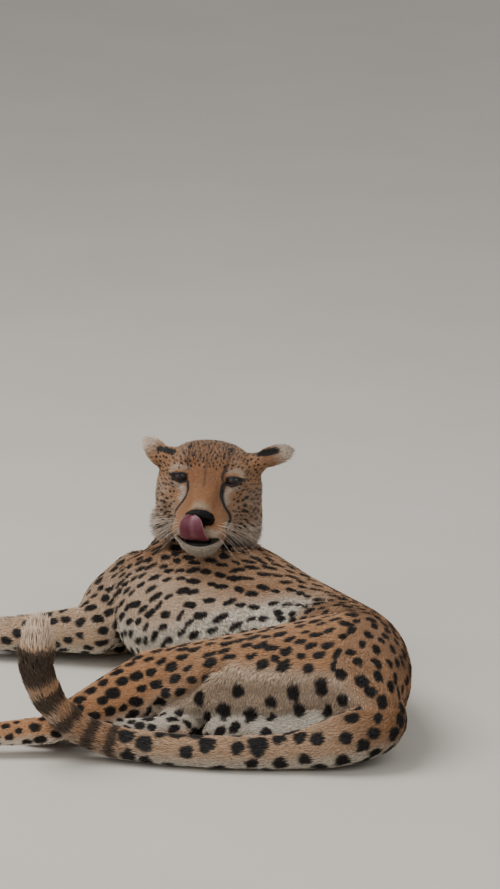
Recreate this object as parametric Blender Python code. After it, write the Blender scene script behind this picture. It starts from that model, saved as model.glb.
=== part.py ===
"""A life-size cheetah that lies on its right side and looks back over its shoulder, licking its nose.

Metres, +Z up, floor at z = 0. The animal's head end points away along +Y, its belly faces -X and its
back +X. Left and right are the animal's own: the left legs lie uppermost. Each chain of flesh (body,
legs, tail) is lofted from rings along its bones, melted into one smooth skin, carved clear of what it
presses against, and then parted at its joints with thin cuts.
"""
import math

import bmesh
import bpy
from mathutils import Matrix, Vector

GAP = 0.0008          # clearance between solids that meet
CUT = 0.0004          # thickness of the cuts that part one chain into its named solids
RING_SIDES = 24       # points round each lofted ring
SPAN_STEPS = 5        # rings between two stations of a loft
BIG = 4.0             # side of the block that trims everything at the floor

# Trunk, from under the tail to the neck: centre, half depth (back to belly), half width (side to
# side), and how far the back is rolled up from lying flat on the right side, in degrees.
TRUNK = {
    "tail_head": ((0.172, 0.052, 0.074), 0.036, 0.050, 0),
    "seat": ((0.158, 0.092, 0.086), 0.062, 0.074, 0),
    "hips": ((0.146, 0.175, 0.092), 0.078, 0.084, 0),
    "loins": ((0.116, 0.286, 0.083), 0.091, 0.081, 0),
    "waist": ((0.069, 0.373, 0.082), 0.098, 0.081, 2),
    "last_ribs": ((0.010, 0.437, 0.087), 0.114, 0.086, 8),
    "ribs": ((-0.046, 0.500, 0.090), 0.128, 0.090, 14),
    "shoulders": ((-0.095, 0.562, 0.088), 0.124, 0.086, 16),
    "breast": ((-0.140, 0.620, 0.076), 0.090, 0.068, 12),
    "neck_root": ((-0.152, 0.658, 0.070), 0.054, 0.050, 8),
}

# Neck, from inside the shoulders up and back to the skull: centre, half width, half thickness, roll.
NECK = {
    "withers": ((-0.095, 0.570, 0.098), 0.080, 0.062, 0),
    "crest": ((-0.076, 0.622, 0.128), 0.074, 0.068, 0),
    "throat": ((-0.046, 0.640, 0.176), 0.068, 0.064, 0),
    "collar": ((-0.050, 0.617, 0.222), 0.064, 0.061, 0),
    "nape": ((-0.052, 0.588, 0.248), 0.058, 0.056, 0),
}

# Joints of each leg, from the trunk to the toes. The left legs are the upper ones.
HIND_LEFT = {
    "hip": (0.138, 0.165, 0.110),
    "knee": (-0.130, 0.205, 0.067),
    "hock": (-0.275, 0.084, 0.034),
    "ball": (-0.425, 0.076, 0.025),
    "toes": (-0.486, 0.072, 0.020),
}
HIND_RIGHT = {
    "hip": (0.130, 0.150, 0.040),
    "knee": (-0.060, 0.240, 0.034),
    "hock": (-0.114, 0.104, 0.026),
    "ball": (-0.240, 0.128, 0.022),
    "toes": (-0.296, 0.140, 0.018),
}
# The soft back of the right thigh, which shows below the left one: centre, two half sizes, roll.
INNER_THIGH = [((-0.042, 0.114, 0.022), 0.030, 0.024, 0), ((0.012, 0.112, 0.025), 0.036, 0.028, 0),
               ((0.066, 0.104, 0.030), 0.034, 0.030, 0)]
FORE_LEFT = {
    "shoulder": (-0.156, 0.645, 0.088),
    "elbow": (-0.220, 0.534, 0.050),
    "wrist": (-0.415, 0.568, 0.030),
    "ball": (-0.490, 0.584, 0.024),
    "toes": (-0.532, 0.592, 0.019),
}
FORE_RIGHT = {
    "shoulder": (-0.150, 0.655, 0.048),
    "elbow": (-0.200, 0.588, 0.028),
    "wrist": (-0.405, 0.624, 0.023),
    "ball": (-0.480, 0.662, 0.022),
    "toes": (-0.522, 0.682, 0.018),
}

# Half breadth (front to back of the limb) and half thickness at each joint, shared by left and right.
HIND_GIRTH = {"hip": (0.098, 0.058), "thigh": (0.092, 0.046), "knee": (0.050, 0.040),
              "calf": (0.040, 0.034), "hock": (0.024, 0.021), "shin": (0.019, 0.017),
              "ball": (0.023, 0.018)}
FORE_GIRTH = {"shoulder": (0.054, 0.050), "arm": (0.059, 0.046), "elbow": (0.038, 0.037),
              "forearm": (0.032, 0.030), "wrist": (0.023, 0.021), "ball": (0.024, 0.019)}

# Tail centre line and radius. It leaves the rump, lies along the floor in front of the seat, and
# its last third lifts and curls up to a bushy tip.
TAIL = [
    ((0.170, 0.075, 0.072), 0.040),
    ((0.174, 0.036, 0.055), 0.037),
    ((0.126, 0.016, 0.041), 0.0365),
    ((0.060, 0.012, 0.027), 0.0265),
    ((-0.030, 0.014, 0.0235), 0.0235),
    ((-0.110, 0.030, 0.023), 0.023),
    ((-0.180, 0.052, 0.026), 0.023),
    ((-0.232, 0.058, 0.044), 0.022),
    ((-0.268, 0.050, 0.082), 0.022),
    ((-0.286, 0.044, 0.124), 0.0240),
    ((-0.288, 0.042, 0.156), 0.0245),
    ((-0.286, 0.042, 0.184), 0.0175),
]
TAIL_CUTS = (2, 4, 6, 8)      # a cut at each of these points parts the tail into five lengths

# The head has its own frame: x to the animal's right, y forwards, z up, origin midway between the
# eyes. It is turned to face back past the shoulder.
HEAD_AT = Vector((-0.062, 0.500, 0.280))
HEAD_YAW, HEAD_PITCH, HEAD_ROLL = math.radians(175), math.radians(8), math.radians(-3.5)
EYE_AT = Vector((0.0385, -0.0140, 0.0005))
EYE_RADIUS = 0.0160
LID = 0.0030          # how far the lids stand off the eyeball
EYE_OPENING = (0.0125, 0.0300, 0.0062)
EYE_TILT = 17         # degrees by which the inner corner hangs lower
MOUTH_AT = Vector((0, 0.055, -0.0795))
JAW = {"narrow": 0.14, "ahead": (-0.012, 0.028), "below": (-0.074, -0.083)}

# Each ear: its middle, the way it points and the way its hollow faces.
EARS = {
    "ear_left": ((-0.086, -0.056, 0.0345), (-0.88, -0.30, 0.36), (-0.30, -0.70, -0.62)),
    "ear_right": ((0.075, -0.056, 0.0250), (0.68, -0.34, 0.64), (0.42, -0.80, -0.40)),
}

# Slices across the head from the nape to the nose: distance forwards, top, bottom, half width,
# height of the widest line, squareness above and below it.
HEAD_SLICES = [
    (-0.120, 0.018, -0.080, 0.052, -0.030, 2.0, 2.0),
    (-0.100, 0.038, -0.088, 0.067, -0.030, 2.1, 2.1),
    (-0.074, 0.049, -0.092, 0.076, -0.030, 2.3, 2.2),
    (-0.046, 0.050, -0.089, 0.076, -0.028, 2.4, 2.2),
    (-0.024, 0.042, -0.084, 0.066, -0.028, 2.4, 2.1),
    (-0.006, 0.024, -0.082, 0.052, -0.034, 2.1, 2.1),
    (0.010, 0.004, -0.086, 0.042, -0.050, 1.8, 2.2),
    (0.028, -0.013, -0.092, 0.038, -0.060, 1.8, 2.3),
    (0.046, -0.026, -0.099, 0.039, -0.064, 1.9, 2.3),
    (0.061, -0.036, -0.099, 0.034, -0.066, 2.0, 2.3),
    (0.072, -0.043, -0.090, 0.022, -0.067, 2.2, 2.2),
]


def head_matrix():
    turn = (Matrix.Rotation(HEAD_YAW, 4, "Z") @ Matrix.Rotation(HEAD_PITCH, 4, "X")
            @ Matrix.Rotation(HEAD_ROLL, 4, "Y"))
    return Matrix.Translation(HEAD_AT) @ turn


# Colour and roughness by the first word of a piece's name.
PAINTS = {
    "eye": ((0.055, 0.022, 0.010), 0.12),
    "nose": ((0.018, 0.015, 0.014), 0.45),
    "tongue": ((0.42, 0.13, 0.15), 0.35),
    "jaw": ((0.72, 0.66, 0.56), 0.9),
    "chest": ((0.60, 0.40, 0.22), 0.9),
    "thigh": ((0.56, 0.38, 0.22), 0.9),
    "tail": ((0.55, 0.38, 0.22), 0.9),
    "ear": ((0.62, 0.50, 0.36), 0.9),
}
COAT_PAINT = ((0.58, 0.36, 0.18), 0.9)


def clear_scene():
    for obj in list(bpy.data.objects):
        bpy.data.objects.remove(obj)


def paint(obj):
    """Gives a piece its own material, in the colour of what it is made of."""
    colour, roughness = PAINTS.get(obj.name.split("_")[0], COAT_PAINT)
    material = bpy.data.materials.new(obj.name)
    material.use_nodes = True
    shader = material.node_tree.nodes["Principled BSDF"]
    shader.inputs["Base Color"].default_value = (*colour, 1)
    shader.inputs["Roughness"].default_value = roughness
    shader.inputs["Metallic"].default_value = 0
    obj.data.materials.clear()
    obj.data.materials.append(material)


def link(name, mesh):
    obj = bpy.data.objects.new(name, mesh)
    bpy.context.scene.collection.objects.link(obj)
    return obj


def link_bmesh(name, bm):
    bmesh.ops.recalc_face_normals(bm, faces=bm.faces)
    mesh = bpy.data.meshes.new(name)
    bm.to_mesh(mesh)
    bm.free()
    return link(name, mesh)


def evaluated(obj):
    """Replaces an object's mesh by what its modifiers make of it."""
    bpy.context.view_layer.update()
    graph = bpy.context.evaluated_depsgraph_get()
    mesh = bpy.data.meshes.new_from_object(obj.evaluated_get(graph))
    obj.modifiers.clear()
    obj.data = mesh
    return obj


def between(a, b, c, d, t):
    """Catmull-Rom interpolation from b to c."""
    return 0.5 * (2 * b + (c - a) * t + (2 * a - 5 * b + 4 * c - d) * t * t
                  + (3 * b - a - 3 * c + d) * t ** 3)


def refined(stations):
    """The stations (centre, half_a, half_b, roll) with smooth ones added between them."""
    rows = [[*centre, a, b, roll] for centre, a, b, roll in stations]
    rows = [rows[0], *rows, rows[-1]]
    found = []
    for i in range(1, len(rows) - 2):
        for k in range(SPAN_STEPS):
            found.append([between(*(rows[i + j][n] for j in (-1, 0, 1, 2)), k / SPAN_STEPS)
                          for n in range(6)])
    return [*found, rows[-2]]


def loft(name, stations):
    """A closed tube of elliptical rings with rounded ends.

    Half_a lies to the right of the way it runs, rolled up by roll degrees, and half_b across that.
    """
    rows = refined(stations)
    centres = [Vector(row[:3]) for row in rows]
    bm = bmesh.new()
    rings = []

    def add_ring(centre, along, a, b, roll):
        right = along.cross(Vector((0, 0, 1)))
        right = right.normalized() if right.length > 0.05 else Vector((1, 0, 0))
        up = right.cross(along).normalized()
        turn = math.radians(roll)
        side = right * math.cos(turn) + up * math.sin(turn)
        rise = up * math.cos(turn) - right * math.sin(turn)
        rings.append([bm.verts.new(centre + side * (a * math.cos(t)) + rise * (b * math.sin(t)))
                      for t in (2 * math.pi * k / RING_SIDES for k in range(RING_SIDES))])

    def way(i):
        return (centres[min(i + 1, len(rows) - 1)] - centres[max(i - 1, 0)]).normalized()

    first, last = rows[0], rows[-1]
    for angle in (75, 50, 25):
        shrink, reach = math.cos(math.radians(angle)), math.sin(math.radians(angle))
        offset = way(0) * (-reach * min(first[3], first[4]))
        add_ring(centres[0] + offset, way(0), first[3] * shrink, first[4] * shrink, first[5])
    for i, row in enumerate(rows):
        add_ring(centres[i], way(i), row[3], row[4], row[5])
    for angle in (25, 50, 75):
        shrink, reach = math.cos(math.radians(angle)), math.sin(math.radians(angle))
        offset = way(len(rows) - 1) * (reach * min(last[3], last[4]))
        add_ring(centres[-1] + offset, way(len(rows) - 1), last[3] * shrink, last[4] * shrink,
                 last[5])
    for low, high in zip(rings, rings[1:]):
        for k in range(RING_SIDES):
            n = (k + 1) % RING_SIDES
            bm.faces.new((low[k], low[n], high[n], high[k]))
    bm.faces.new(rings[0])
    bm.faces.new(rings[-1])
    return link_bmesh(name, bm)


def head_loft(matrix):
    """The head as one tube of slices that are wider low down on the muzzle and squarer at the cheeks."""
    rows = [HEAD_SLICES[0], *HEAD_SLICES, HEAD_SLICES[-1]]
    slices = []
    for i in range(1, len(rows) - 2):
        for k in range(SPAN_STEPS):
            slices.append([between(*(rows[i + j][n] for j in (-1, 0, 1, 2)), k / SPAN_STEPS)
                           for n in range(7)])
    slices.append(list(rows[-2]))
    sides = 2 * RING_SIDES
    bm = bmesh.new()
    rings = []
    for y, top, bottom, half_width, wide_at, square_above, square_below in slices:
        ring = []
        for k in range(sides):
            turn = 2 * math.pi * k / sides
            c, s = math.cos(turn), math.sin(turn)
            power = 2 / (square_above if s >= 0 else square_below)
            reach = top - wide_at if s >= 0 else wide_at - bottom
            x = half_width * math.copysign(abs(c) ** power, c)
            z = wide_at + reach * math.copysign(abs(s) ** power, s)
            ring.append(bm.verts.new(matrix @ Vector((x, y, z))))
        rings.append(ring)
    for low, high in zip(rings, rings[1:]):
        for k in range(sides):
            n = (k + 1) % sides
            bm.faces.new((low[k], low[n], high[n], high[k]))
    bm.faces.new(rings[0])
    bm.faces.new(rings[-1])
    return link_bmesh("head_loft", bm)


def lump(name, centre, radii, matrix=Matrix.Identity(4), turn=(0, 0, 0), sides=24):
    """An ellipsoid of flesh. Turn holds degrees about x, y and z, before matrix places it."""
    bm = bmesh.new()
    bmesh.ops.create_uvsphere(bm, u_segments=sides, v_segments=sides * 2 // 3, radius=1)
    placed = matrix @ Matrix.Translation(centre)
    for axis, angle in zip("XYZ", turn):
        placed = placed @ Matrix.Rotation(math.radians(angle), 4, axis)
    bmesh.ops.transform(bm, matrix=placed @ Matrix.Diagonal((*radii, 1)), verts=bm.verts)
    return link_bmesh(name, bm)


def join(name, pieces):
    bm = bmesh.new()
    for piece in pieces:
        bm.from_mesh(piece.data)
        bpy.data.objects.remove(piece)
    mesh = bpy.data.meshes.new(name)
    bm.to_mesh(mesh)
    bm.free()
    return link(name, mesh)


def melt(name, pieces, voxel, smoothing, triangles):
    """Overlapping lumps made one closed skin, smoothed, and thinned to about that many triangles."""
    obj = join(name, pieces)
    remesh = obj.modifiers.new("melt", "REMESH")
    remesh.mode = "VOXEL"
    remesh.voxel_size = voxel
    if smoothing:
        smooth = obj.modifiers.new("smooth", "SMOOTH")
        smooth.factor = 0.5
        smooth.iterations = smoothing
    evaluated(obj)
    if triangles:
        thin = obj.modifiers.new("thin", "DECIMATE")
        thin.ratio = triangles / (2 * len(obj.data.polygons))
        thin.use_collapse_triangulate = True
        evaluated(obj)
    return obj


def boolean(obj, other, operation="DIFFERENCE"):
    modifier = obj.modifiers.new("boolean", "BOOLEAN")
    modifier.operation = operation
    modifier.object = other
    evaluated(obj)
    return obj


def loose_parts(obj):
    """The separate closed shells of a mesh, each as a list of face indices, largest first."""
    bm = bmesh.new()
    bm.from_mesh(obj.data)
    seen, parts = set(), []
    for face in bm.faces:
        if face in seen:
            continue
        queue, part = [face], []
        seen.add(face)
        while queue:
            here = queue.pop()
            part.append(here.index)
            for edge in here.edges:
                for near in edge.link_faces:
                    if near not in seen:
                        seen.add(near)
                        queue.append(near)
        parts.append(part)
    bm.free()
    return sorted(parts, key=len, reverse=True)


def part_of(obj, name, faces):
    """A new object from some faces of another."""
    keep = set(faces)
    bm = bmesh.new()
    bm.from_mesh(obj.data)
    bm.faces.ensure_lookup_table()
    bmesh.ops.delete(bm, geom=[f for f in bm.faces if f.index not in keep], context="FACES")
    mesh = bpy.data.meshes.new(name)
    bm.to_mesh(mesh)
    bm.free()
    return link(name, mesh)


def keep_largest(obj):
    parts = loose_parts(obj)
    if len(parts) > 1:
        whole = part_of(obj, obj.name + "_kept", parts[0])
        obj.data = whole.data
        bpy.data.objects.remove(whole)
    return obj


def grown(obj):
    """A copy of a piece that stands off it by the gap, to cut room for it with."""
    copy = link(obj.name + "_room", obj.data.copy())
    push = copy.modifiers.new("gap", "DISPLACE")
    push.strength = GAP
    push.mid_level = 0
    return evaluated(copy)


def carve(obj, *cutters):
    for cutter in cutters:
        boolean(obj, cutter)
    return keep_largest(obj)


def trim_at_floor(obj):
    bm = bmesh.new()
    bmesh.ops.create_cube(bm, size=BIG, matrix=Matrix.Translation((0, 0, -BIG / 2)))
    block = link_bmesh("floor_block", bm)
    boolean(obj, block)
    bpy.data.objects.remove(block)
    return keep_largest(obj)


def slab(centre, normal, wide, deep, depth=CUT):
    """A thin oval disc that parts a limb where it crosses it, or a thick one that ends it there."""
    turn = Vector(normal).to_track_quat("Z", "Y").to_matrix().to_4x4()
    bm = bmesh.new()
    bmesh.ops.create_cone(bm, cap_ends=True, segments=32, radius1=1, radius2=1, depth=1,
                          matrix=Matrix.Translation(centre) @ turn
                          @ Matrix.Translation((0, 0, (depth - CUT) / 2))
                          @ Matrix.Diagonal((wide, deep, depth, 1)))
    return link_bmesh("slab", bm)


def split(obj, cuts, anchors):
    """Parts obj with thin discs. Each piece takes the name of the anchor point nearest its middle."""
    for cut in cuts:
        disc = slab(*cut)
        boolean(obj, disc)
        bpy.data.objects.remove(disc)
    parts = loose_parts(obj)
    if len(parts) < len(anchors):
        raise ValueError(f"{obj.name}: {len(parts)} pieces for {sorted(anchors)}")
    found = {}
    for faces in parts[:len(anchors)]:
        piece = part_of(obj, "piece", faces)
        middle = sum((v.co for v in piece.data.vertices), Vector()) / len(piece.data.vertices)
        name = min((n for n in anchors if n not in found),
                   key=lambda n: (Vector(anchors[n]) - middle).length)
        piece.name = name
        found[name] = piece
    bpy.data.objects.remove(obj)
    return found


def point(joints, a, b, share):
    return Vector(joints[a]).lerp(Vector(joints[b]), share)


def paw(name, ball, toes, up, half_width):
    """The foot from its ball forwards: a pad and four toes side by side."""
    ball, toes = Vector(ball), Vector(toes)
    ahead = (toes - ball).normalized()
    side = ahead.cross(Vector(up)).normalized()
    rise = side.cross(ahead)
    frame = Matrix((side, ahead, rise)).transposed().to_4x4()
    length = (toes - ball).length
    lumps = [lump(name + "_pad", (0, 0, 0), (half_width, length * 0.75, half_width * 0.66),
                  Matrix.Translation(ball.lerp(toes, 0.15)) @ frame)]
    for k, reach in enumerate((0.80, 1.0, 1.0, 0.80)):
        across = (k - 1.5) * half_width * 0.52
        centre = ball.lerp(toes, reach) + side * across
        lumps.append(lump(f"{name}_toe{k}", (0, 0, 0),
                          (half_width * 0.30, length * 0.46, half_width * 0.50),
                          Matrix.Translation(centre) @ frame))
    return lumps


def hind_leg(side, joints, press):
    """Thigh, shank, metatarsus and paw of one hind leg. Press under 1 thins a leg that is lain on,
    and over 1 thickens the one that spreads on top."""
    up, roll = (0, 0, 1), 0
    girth = {key: (broad, thick * (press if key in ("hip", "thigh", "knee", "calf") else 1))
             for key, (broad, thick) in HIND_GIRTH.items()}
    pieces = [
        loft("thigh", [(joints["hip"], *girth["hip"], roll),
                       (point(joints, "hip", "knee", 0.5), *girth["thigh"], roll),
                       (joints["knee"], *girth["knee"], roll)]),
        loft("hamstring", [
            (Vector(joints["hip"]) + Vector((0.012, -0.055, -0.018)), 0.048, 0.044 * press, roll),
            (point(joints, "hip", "knee", 0.5) + Vector((0.012, -0.056, -0.016)),
             0.040, 0.040 * press, roll),
            (point(joints, "hip", "knee", 0.9) + Vector((0.010, -0.040, -0.010)),
             0.030, 0.034 * press, roll)]),
        loft("shank", [(joints["knee"], *girth["knee"], roll),
                       (point(joints, "knee", "hock", 0.35), *girth["calf"], roll),
                       (joints["hock"], *girth["hock"], roll)]),
        loft("metatarsus", [(joints["hock"], *girth["hock"], roll),
                            (point(joints, "hock", "ball", 0.5), *girth["shin"], roll),
                            (joints["ball"], *girth["ball"], roll)]),
        *paw("hindpaw_" + side, joints["ball"], joints["toes"], up, girth["ball"][0] * 1.15),
    ]
    back = (Vector(joints["hock"]) - Vector(joints["ball"])).normalized()
    pieces.append(lump("heel", Vector(joints["hock"]) + back * 0.018, (0.018, 0.018, 0.016)))
    if side == "right":
        pieces.append(loft("inner_thigh", INNER_THIGH))
    return melt("hind_leg_" + side, pieces, 0.005, 6, 440)


def fore_leg(side, joints):
    """Upper arm, forearm and paw of one foreleg, as one skin."""
    up, roll = (0, 0, 1), 0
    girth = FORE_GIRTH
    pieces = [
        loft("upper_arm", [(joints["shoulder"], *girth["shoulder"], roll),
                           (point(joints, "shoulder", "elbow", 0.5), *girth["arm"], roll),
                           (joints["elbow"], *girth["elbow"], roll)]),
        loft("forearm", [(joints["elbow"], *girth["elbow"], roll),
                         (point(joints, "elbow", "wrist", 0.35), *girth["forearm"], roll),
                         (joints["wrist"], *girth["wrist"], roll),
                         (joints["ball"], *girth["ball"], roll)]),
        *paw("forepaw_" + side, joints["ball"], joints["toes"], up, girth["ball"][0] * 1.2),
    ]
    return melt("fore_leg_" + side, pieces, 0.005, 6, 390)


def split_leg(leg, side, joints, names, discs):
    """Parts a leg at its middle joints. Each disc has a radius, and how far it leans to the far bone."""
    keys = list(joints)[:-1]
    cuts = []
    for k, (radius, lean) in zip(range(1, len(keys)), discs):
        before = (Vector(joints[keys[k]]) - Vector(joints[keys[k - 1]])).normalized()
        after_key = keys[k + 1] if k + 1 < len(keys) else "toes"
        after = (Vector(joints[after_key]) - Vector(joints[keys[k]])).normalized()
        cuts.append((joints[keys[k]], before + after * lean, radius, radius))
    anchors = {}
    for k, name in enumerate(names):
        far = keys[k + 1] if k + 1 < len(keys) else "toes"
        anchors[f"{name}_{side}"] = point(joints, keys[k], far, 0.5)
    return split(leg, cuts, anchors)


def narrow_jaw(head):
    """Draws the lower jaw in from both sides, so that the upper lips hang over it."""
    at = head_matrix()
    back = at.inverted()

    def share(value, low, high):
        return min(max((value - low) / (high - low), 0), 1)

    for vertex in head.data.vertices:
        x, y, z = back @ vertex.co
        drawn = JAW["narrow"] * share(y, *JAW["ahead"]) * share(z, *JAW["below"])
        vertex.co = at @ Vector((x * (1 - drawn), y, z))
    return head


def head_lumps():
    """What stands out from the main form of the head, in its own frame."""
    at = head_matrix()
    lumps = [
        head_loft(at),
        loft("nape", [NECK["collar"], NECK["nape"]]),
        lump("chin", (-0.0035, 0.046, -0.0915), (0.027, 0.021, 0.0125), at),
        lump("bridge", (0, 0.034, -0.021), (0.019, 0.044, 0.013), at, (-33, 0, 0)),
    ]
    for side in (-1, 1):
        lumps += [
            lump("ear_root", (side * 0.061, -0.054, 0.022), (0.021, 0.024, 0.017), at),
            lump("brow", (side * 0.033, -0.019, 0.020), (0.024, 0.016, 0.010), at, (0, side * 10, 0)),
            lump("lids", (side * EYE_AT.x, EYE_AT.y, EYE_AT.z), (EYE_RADIUS + LID,) * 3, at),
            lump("cheekbone", (side * 0.046, -0.026, -0.032), (0.024, 0.026, 0.022), at),
            lump("ruff", (side * 0.0535, -0.056, -0.067), (0.0245, 0.036, 0.031), at),
            lump("whisker_pad", (side * 0.021, 0.053, -0.067), (0.0205, 0.022, 0.0155), at),
        ]
    return lumps


def make_body():
    """Trunk and neck as one skin, cut off square where the skull sits on it."""
    neck = loft("neck", list(NECK.values()))
    trunk = loft("trunk", list(TRUNK.values()))
    back = lump("scapula", (-0.075, 0.545, 0.128), (0.080, 0.075, 0.052), turn=(0, 12, -35))
    body = melt("body", [trunk, neck, back], 0.008, 10, 740)
    return body


def make_tail():
    rows = [(centre, radius, radius, 0) for centre, radius in TAIL]
    return melt("tail", [loft("tail_loft", rows)], 0.004, 3, 390)


def make_eye(name, side):
    return lump(name, (side * EYE_AT.x, EYE_AT.y, EYE_AT.z), (EYE_RADIUS,) * 3, head_matrix(),
                sides=14)


def make_eye_opening(side):
    """The almond gap between the lids, as a cutter."""
    centre = (side * EYE_AT.x, EYE_AT.y + EYE_OPENING[1] * 0.75, EYE_AT.z)
    return lump("opening", centre, EYE_OPENING, head_matrix(), (0, -side * EYE_TILT, 0), sides=12)


def make_ear(name):
    """A cupped, rounded ear: a dished disc with a thick base."""
    centre, axis, facing = (Vector(row) for row in EARS[name])
    axis.normalize()
    across = facing.cross(axis).normalized()
    frame = Matrix((across, axis.cross(across), axis)).transposed().to_4x4()
    at = head_matrix() @ Matrix.Translation(centre) @ frame
    outer = lump(name, (0, 0, 0), (0.0178, 0.0118, 0.030), at, sides=14)
    hollow = lump("hollow", (0, 0.0098, 0.005), (0.0132, 0.0115, 0.0235), at, sides=14)
    boolean(outer, hollow)
    bpy.data.objects.remove(hollow)
    return outer


def make_nose():
    at = head_matrix()
    pieces = [lump("leather", (0, 0.069, -0.0435), (0.0210, 0.0090, 0.0090), at, (-15, 0, 0)),
              lump("wing", (0.0135, 0.068, -0.0490), (0.0088, 0.0085, 0.0075), at),
              lump("wing", (-0.0135, 0.068, -0.0490), (0.0088, 0.0085, 0.0075), at),
              lump("philtrum", (0, 0.069, -0.0550), (0.0095, 0.0072, 0.0090), at)]
    return melt("nose", pieces, 0.0015, 3, 120)


def make_tongue():
    """The tongue leaves the mouth and curls up over the lip to the nose."""
    at = head_matrix()
    path = [((0.003, 0.022, -0.077), 0.017, 0.0040), ((0.004, 0.052, -0.079), 0.019, 0.0040),
            ((0.006, 0.076, -0.077), 0.020, 0.0045), ((0.008, 0.087, -0.067), 0.020, 0.0045),
            ((0.009, 0.086, -0.053), 0.018, 0.0040), ((0.010, 0.081, -0.046), 0.012, 0.0035)]
    stations = [(tuple(at @ Vector(centre)), a, b, 0) for centre, a, b in path]
    return melt("tongue", [loft("tongue_loft", stations)], 0.002, 2, 160)


def part_jaw(head):
    """Takes the lower jaw off the head, below the line of the mouth."""
    wide, back, front, low = 0.12, -0.015, 0.115, -0.135
    bm = bmesh.new()
    bmesh.ops.create_cube(bm, size=1, matrix=head_matrix()
                          @ Matrix.Translation((0, (back + front) / 2, (MOUTH_AT.z + low) / 2))
                          @ Matrix.Diagonal((wide, front - back, MOUTH_AT.z - low, 1)))
    block = link_bmesh("jaw_block", bm)
    jaw = link("jaw", head.data.copy())
    boolean(jaw, block, "INTERSECT")
    keep_largest(jaw)
    room = grown(block)
    carve(head, room)
    bpy.data.objects.remove(room)
    bpy.data.objects.remove(block)


def make_mouth():
    """The opening between the lips, as a cutter."""
    return lump("mouth", MOUTH_AT, (0.026, 0.036, 0.0048), head_matrix(), sides=12)


NAPE_CUT = ((-0.051, 0.610, 0.226), (-0.05, -0.64, 0.77), 0.120, 0.120)
BODY_CUTS = [
    ((-0.055, 0.632, 0.162), (0.12, 0.52, 0.85), 0.125, 0.125),
    ((0.022, 0.425, 0.084), (-0.62, 0.78, 0.05), 0.16, 0.16),
    ((0.125, 0.255, 0.084), (-0.22, 0.97, 0), 0.13, 0.13),
]
BODY_ANCHORS = {"neck": (-0.05, 0.62, 0.19),
                "chest": (-0.06, 0.52, 0.09), "loins": (0.08, 0.34, 0.08),
                "rump": (0.15, 0.16, 0.09)}


def build():
    clear_scene()
    body = make_body()
    head = narrow_jaw(melt("head", head_lumps(), 0.003, 8, 900))
    hind_left = hind_leg("left", HIND_LEFT, 1.16)
    hind_right = hind_leg("right", HIND_RIGHT, 0.85)
    fore_left = fore_leg("left", FORE_LEFT)
    fore_right = fore_leg("right", FORE_RIGHT)
    tail = make_tail()
    eyes = [make_eye("eye_left", -1), make_eye("eye_right", 1)]
    ears = [make_ear(name) for name in EARS]
    nose, tongue = make_nose(), make_tongue()

    above = slab(*NAPE_CUT, depth=0.2)
    carve(body, above)
    rooms = {piece.name: grown(piece) for piece in (body, head, tail, hind_left, fore_left, *eyes,
                                                    nose, tongue)}
    openings = [make_mouth(), make_eye_opening(-1), make_eye_opening(1)]
    for chain in (body, tail, hind_left, hind_right, fore_left, fore_right):
        trim_at_floor(chain)
    carve(head, *openings, rooms["body"], *(rooms[eye.name] for eye in eyes), rooms["nose"],
          rooms["tongue"])
    part_jaw(head)
    carve(nose, rooms["tongue"])
    for ear in ears:
        carve(ear, rooms["head"])
    carve(tail, rooms["body"])
    carve(hind_left, rooms["body"], rooms["tail"])
    carve(hind_right, rooms["body"], rooms["tail"], rooms["hind_leg_left"])
    carve(fore_left, rooms["body"])
    carve(fore_right, rooms["body"], rooms["fore_leg_left"])
    for cutter in (above, *openings, *rooms.values()):
        bpy.data.objects.remove(cutter)

    split(body, BODY_CUTS, BODY_ANCHORS)
    for leg, side, joints, knee in ((hind_left, "left", HIND_LEFT, (0.095, 1)),
                                    (hind_right, "right", HIND_RIGHT, (0.120, 0.55))):
        split_leg(leg, side, joints, ("thigh", "shank", "hindfoot", "hindpaw"),
                  (knee, (0.045, 1), (0.034, 1)))
    for leg, side, joints in ((fore_left, "left", FORE_LEFT), (fore_right, "right", FORE_RIGHT)):
        split_leg(leg, side, joints, ("upper_arm", "forearm", "forefoot", "forepaw"),
                  ((0.080, 1), (0.040, 1), (0.036, 1)))
    centres = [Vector(centre) for centre, _ in TAIL]
    split(tail, [(centres[i], centres[i + 1] - centres[i - 1], 0.045, 0.045) for i in TAIL_CUTS],
          {"tail_1": (0.16, 0.02, 0.045), "tail_2": (0.06, 0.012, 0.03),
           "tail_3": (-0.07, 0.02, 0.024), "tail_4": (-0.2, 0.055, 0.03),
           "tail_5": (-0.285, 0.045, 0.13)})


def place_pieces():
    """Centres the whole over the floor and hangs every piece, from its own middle, on one empty."""
    pieces = list(bpy.data.objects)
    points = [v.co for obj in pieces for v in obj.data.vertices]
    middle = Vector([(min(p[n] for p in points) + max(p[n] for p in points)) / 2 for n in range(3)])
    middle.z = 0
    root = bpy.data.objects.new("cheetah", None)
    bpy.context.scene.collection.objects.link(root)
    for obj in pieces:
        own = sum((v.co for v in obj.data.vertices), Vector()) / len(obj.data.vertices)
        obj.data.transform(Matrix.Translation(-own))
        obj.location = own - middle
        obj.parent = root
        obj.data.shade_smooth()
        obj.data.set_sharp_from_angle(angle=math.radians(50))
        paint(obj)
    return -middle


if __name__ == "__main__":
    build()
    OFFSET = place_pieces()
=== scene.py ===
import bpy, math
import numpy as np
from mathutils import Matrix, Vector
from mathutils.bvhtree import BVHTree
from mathutils.kdtree import KDTree


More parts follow.
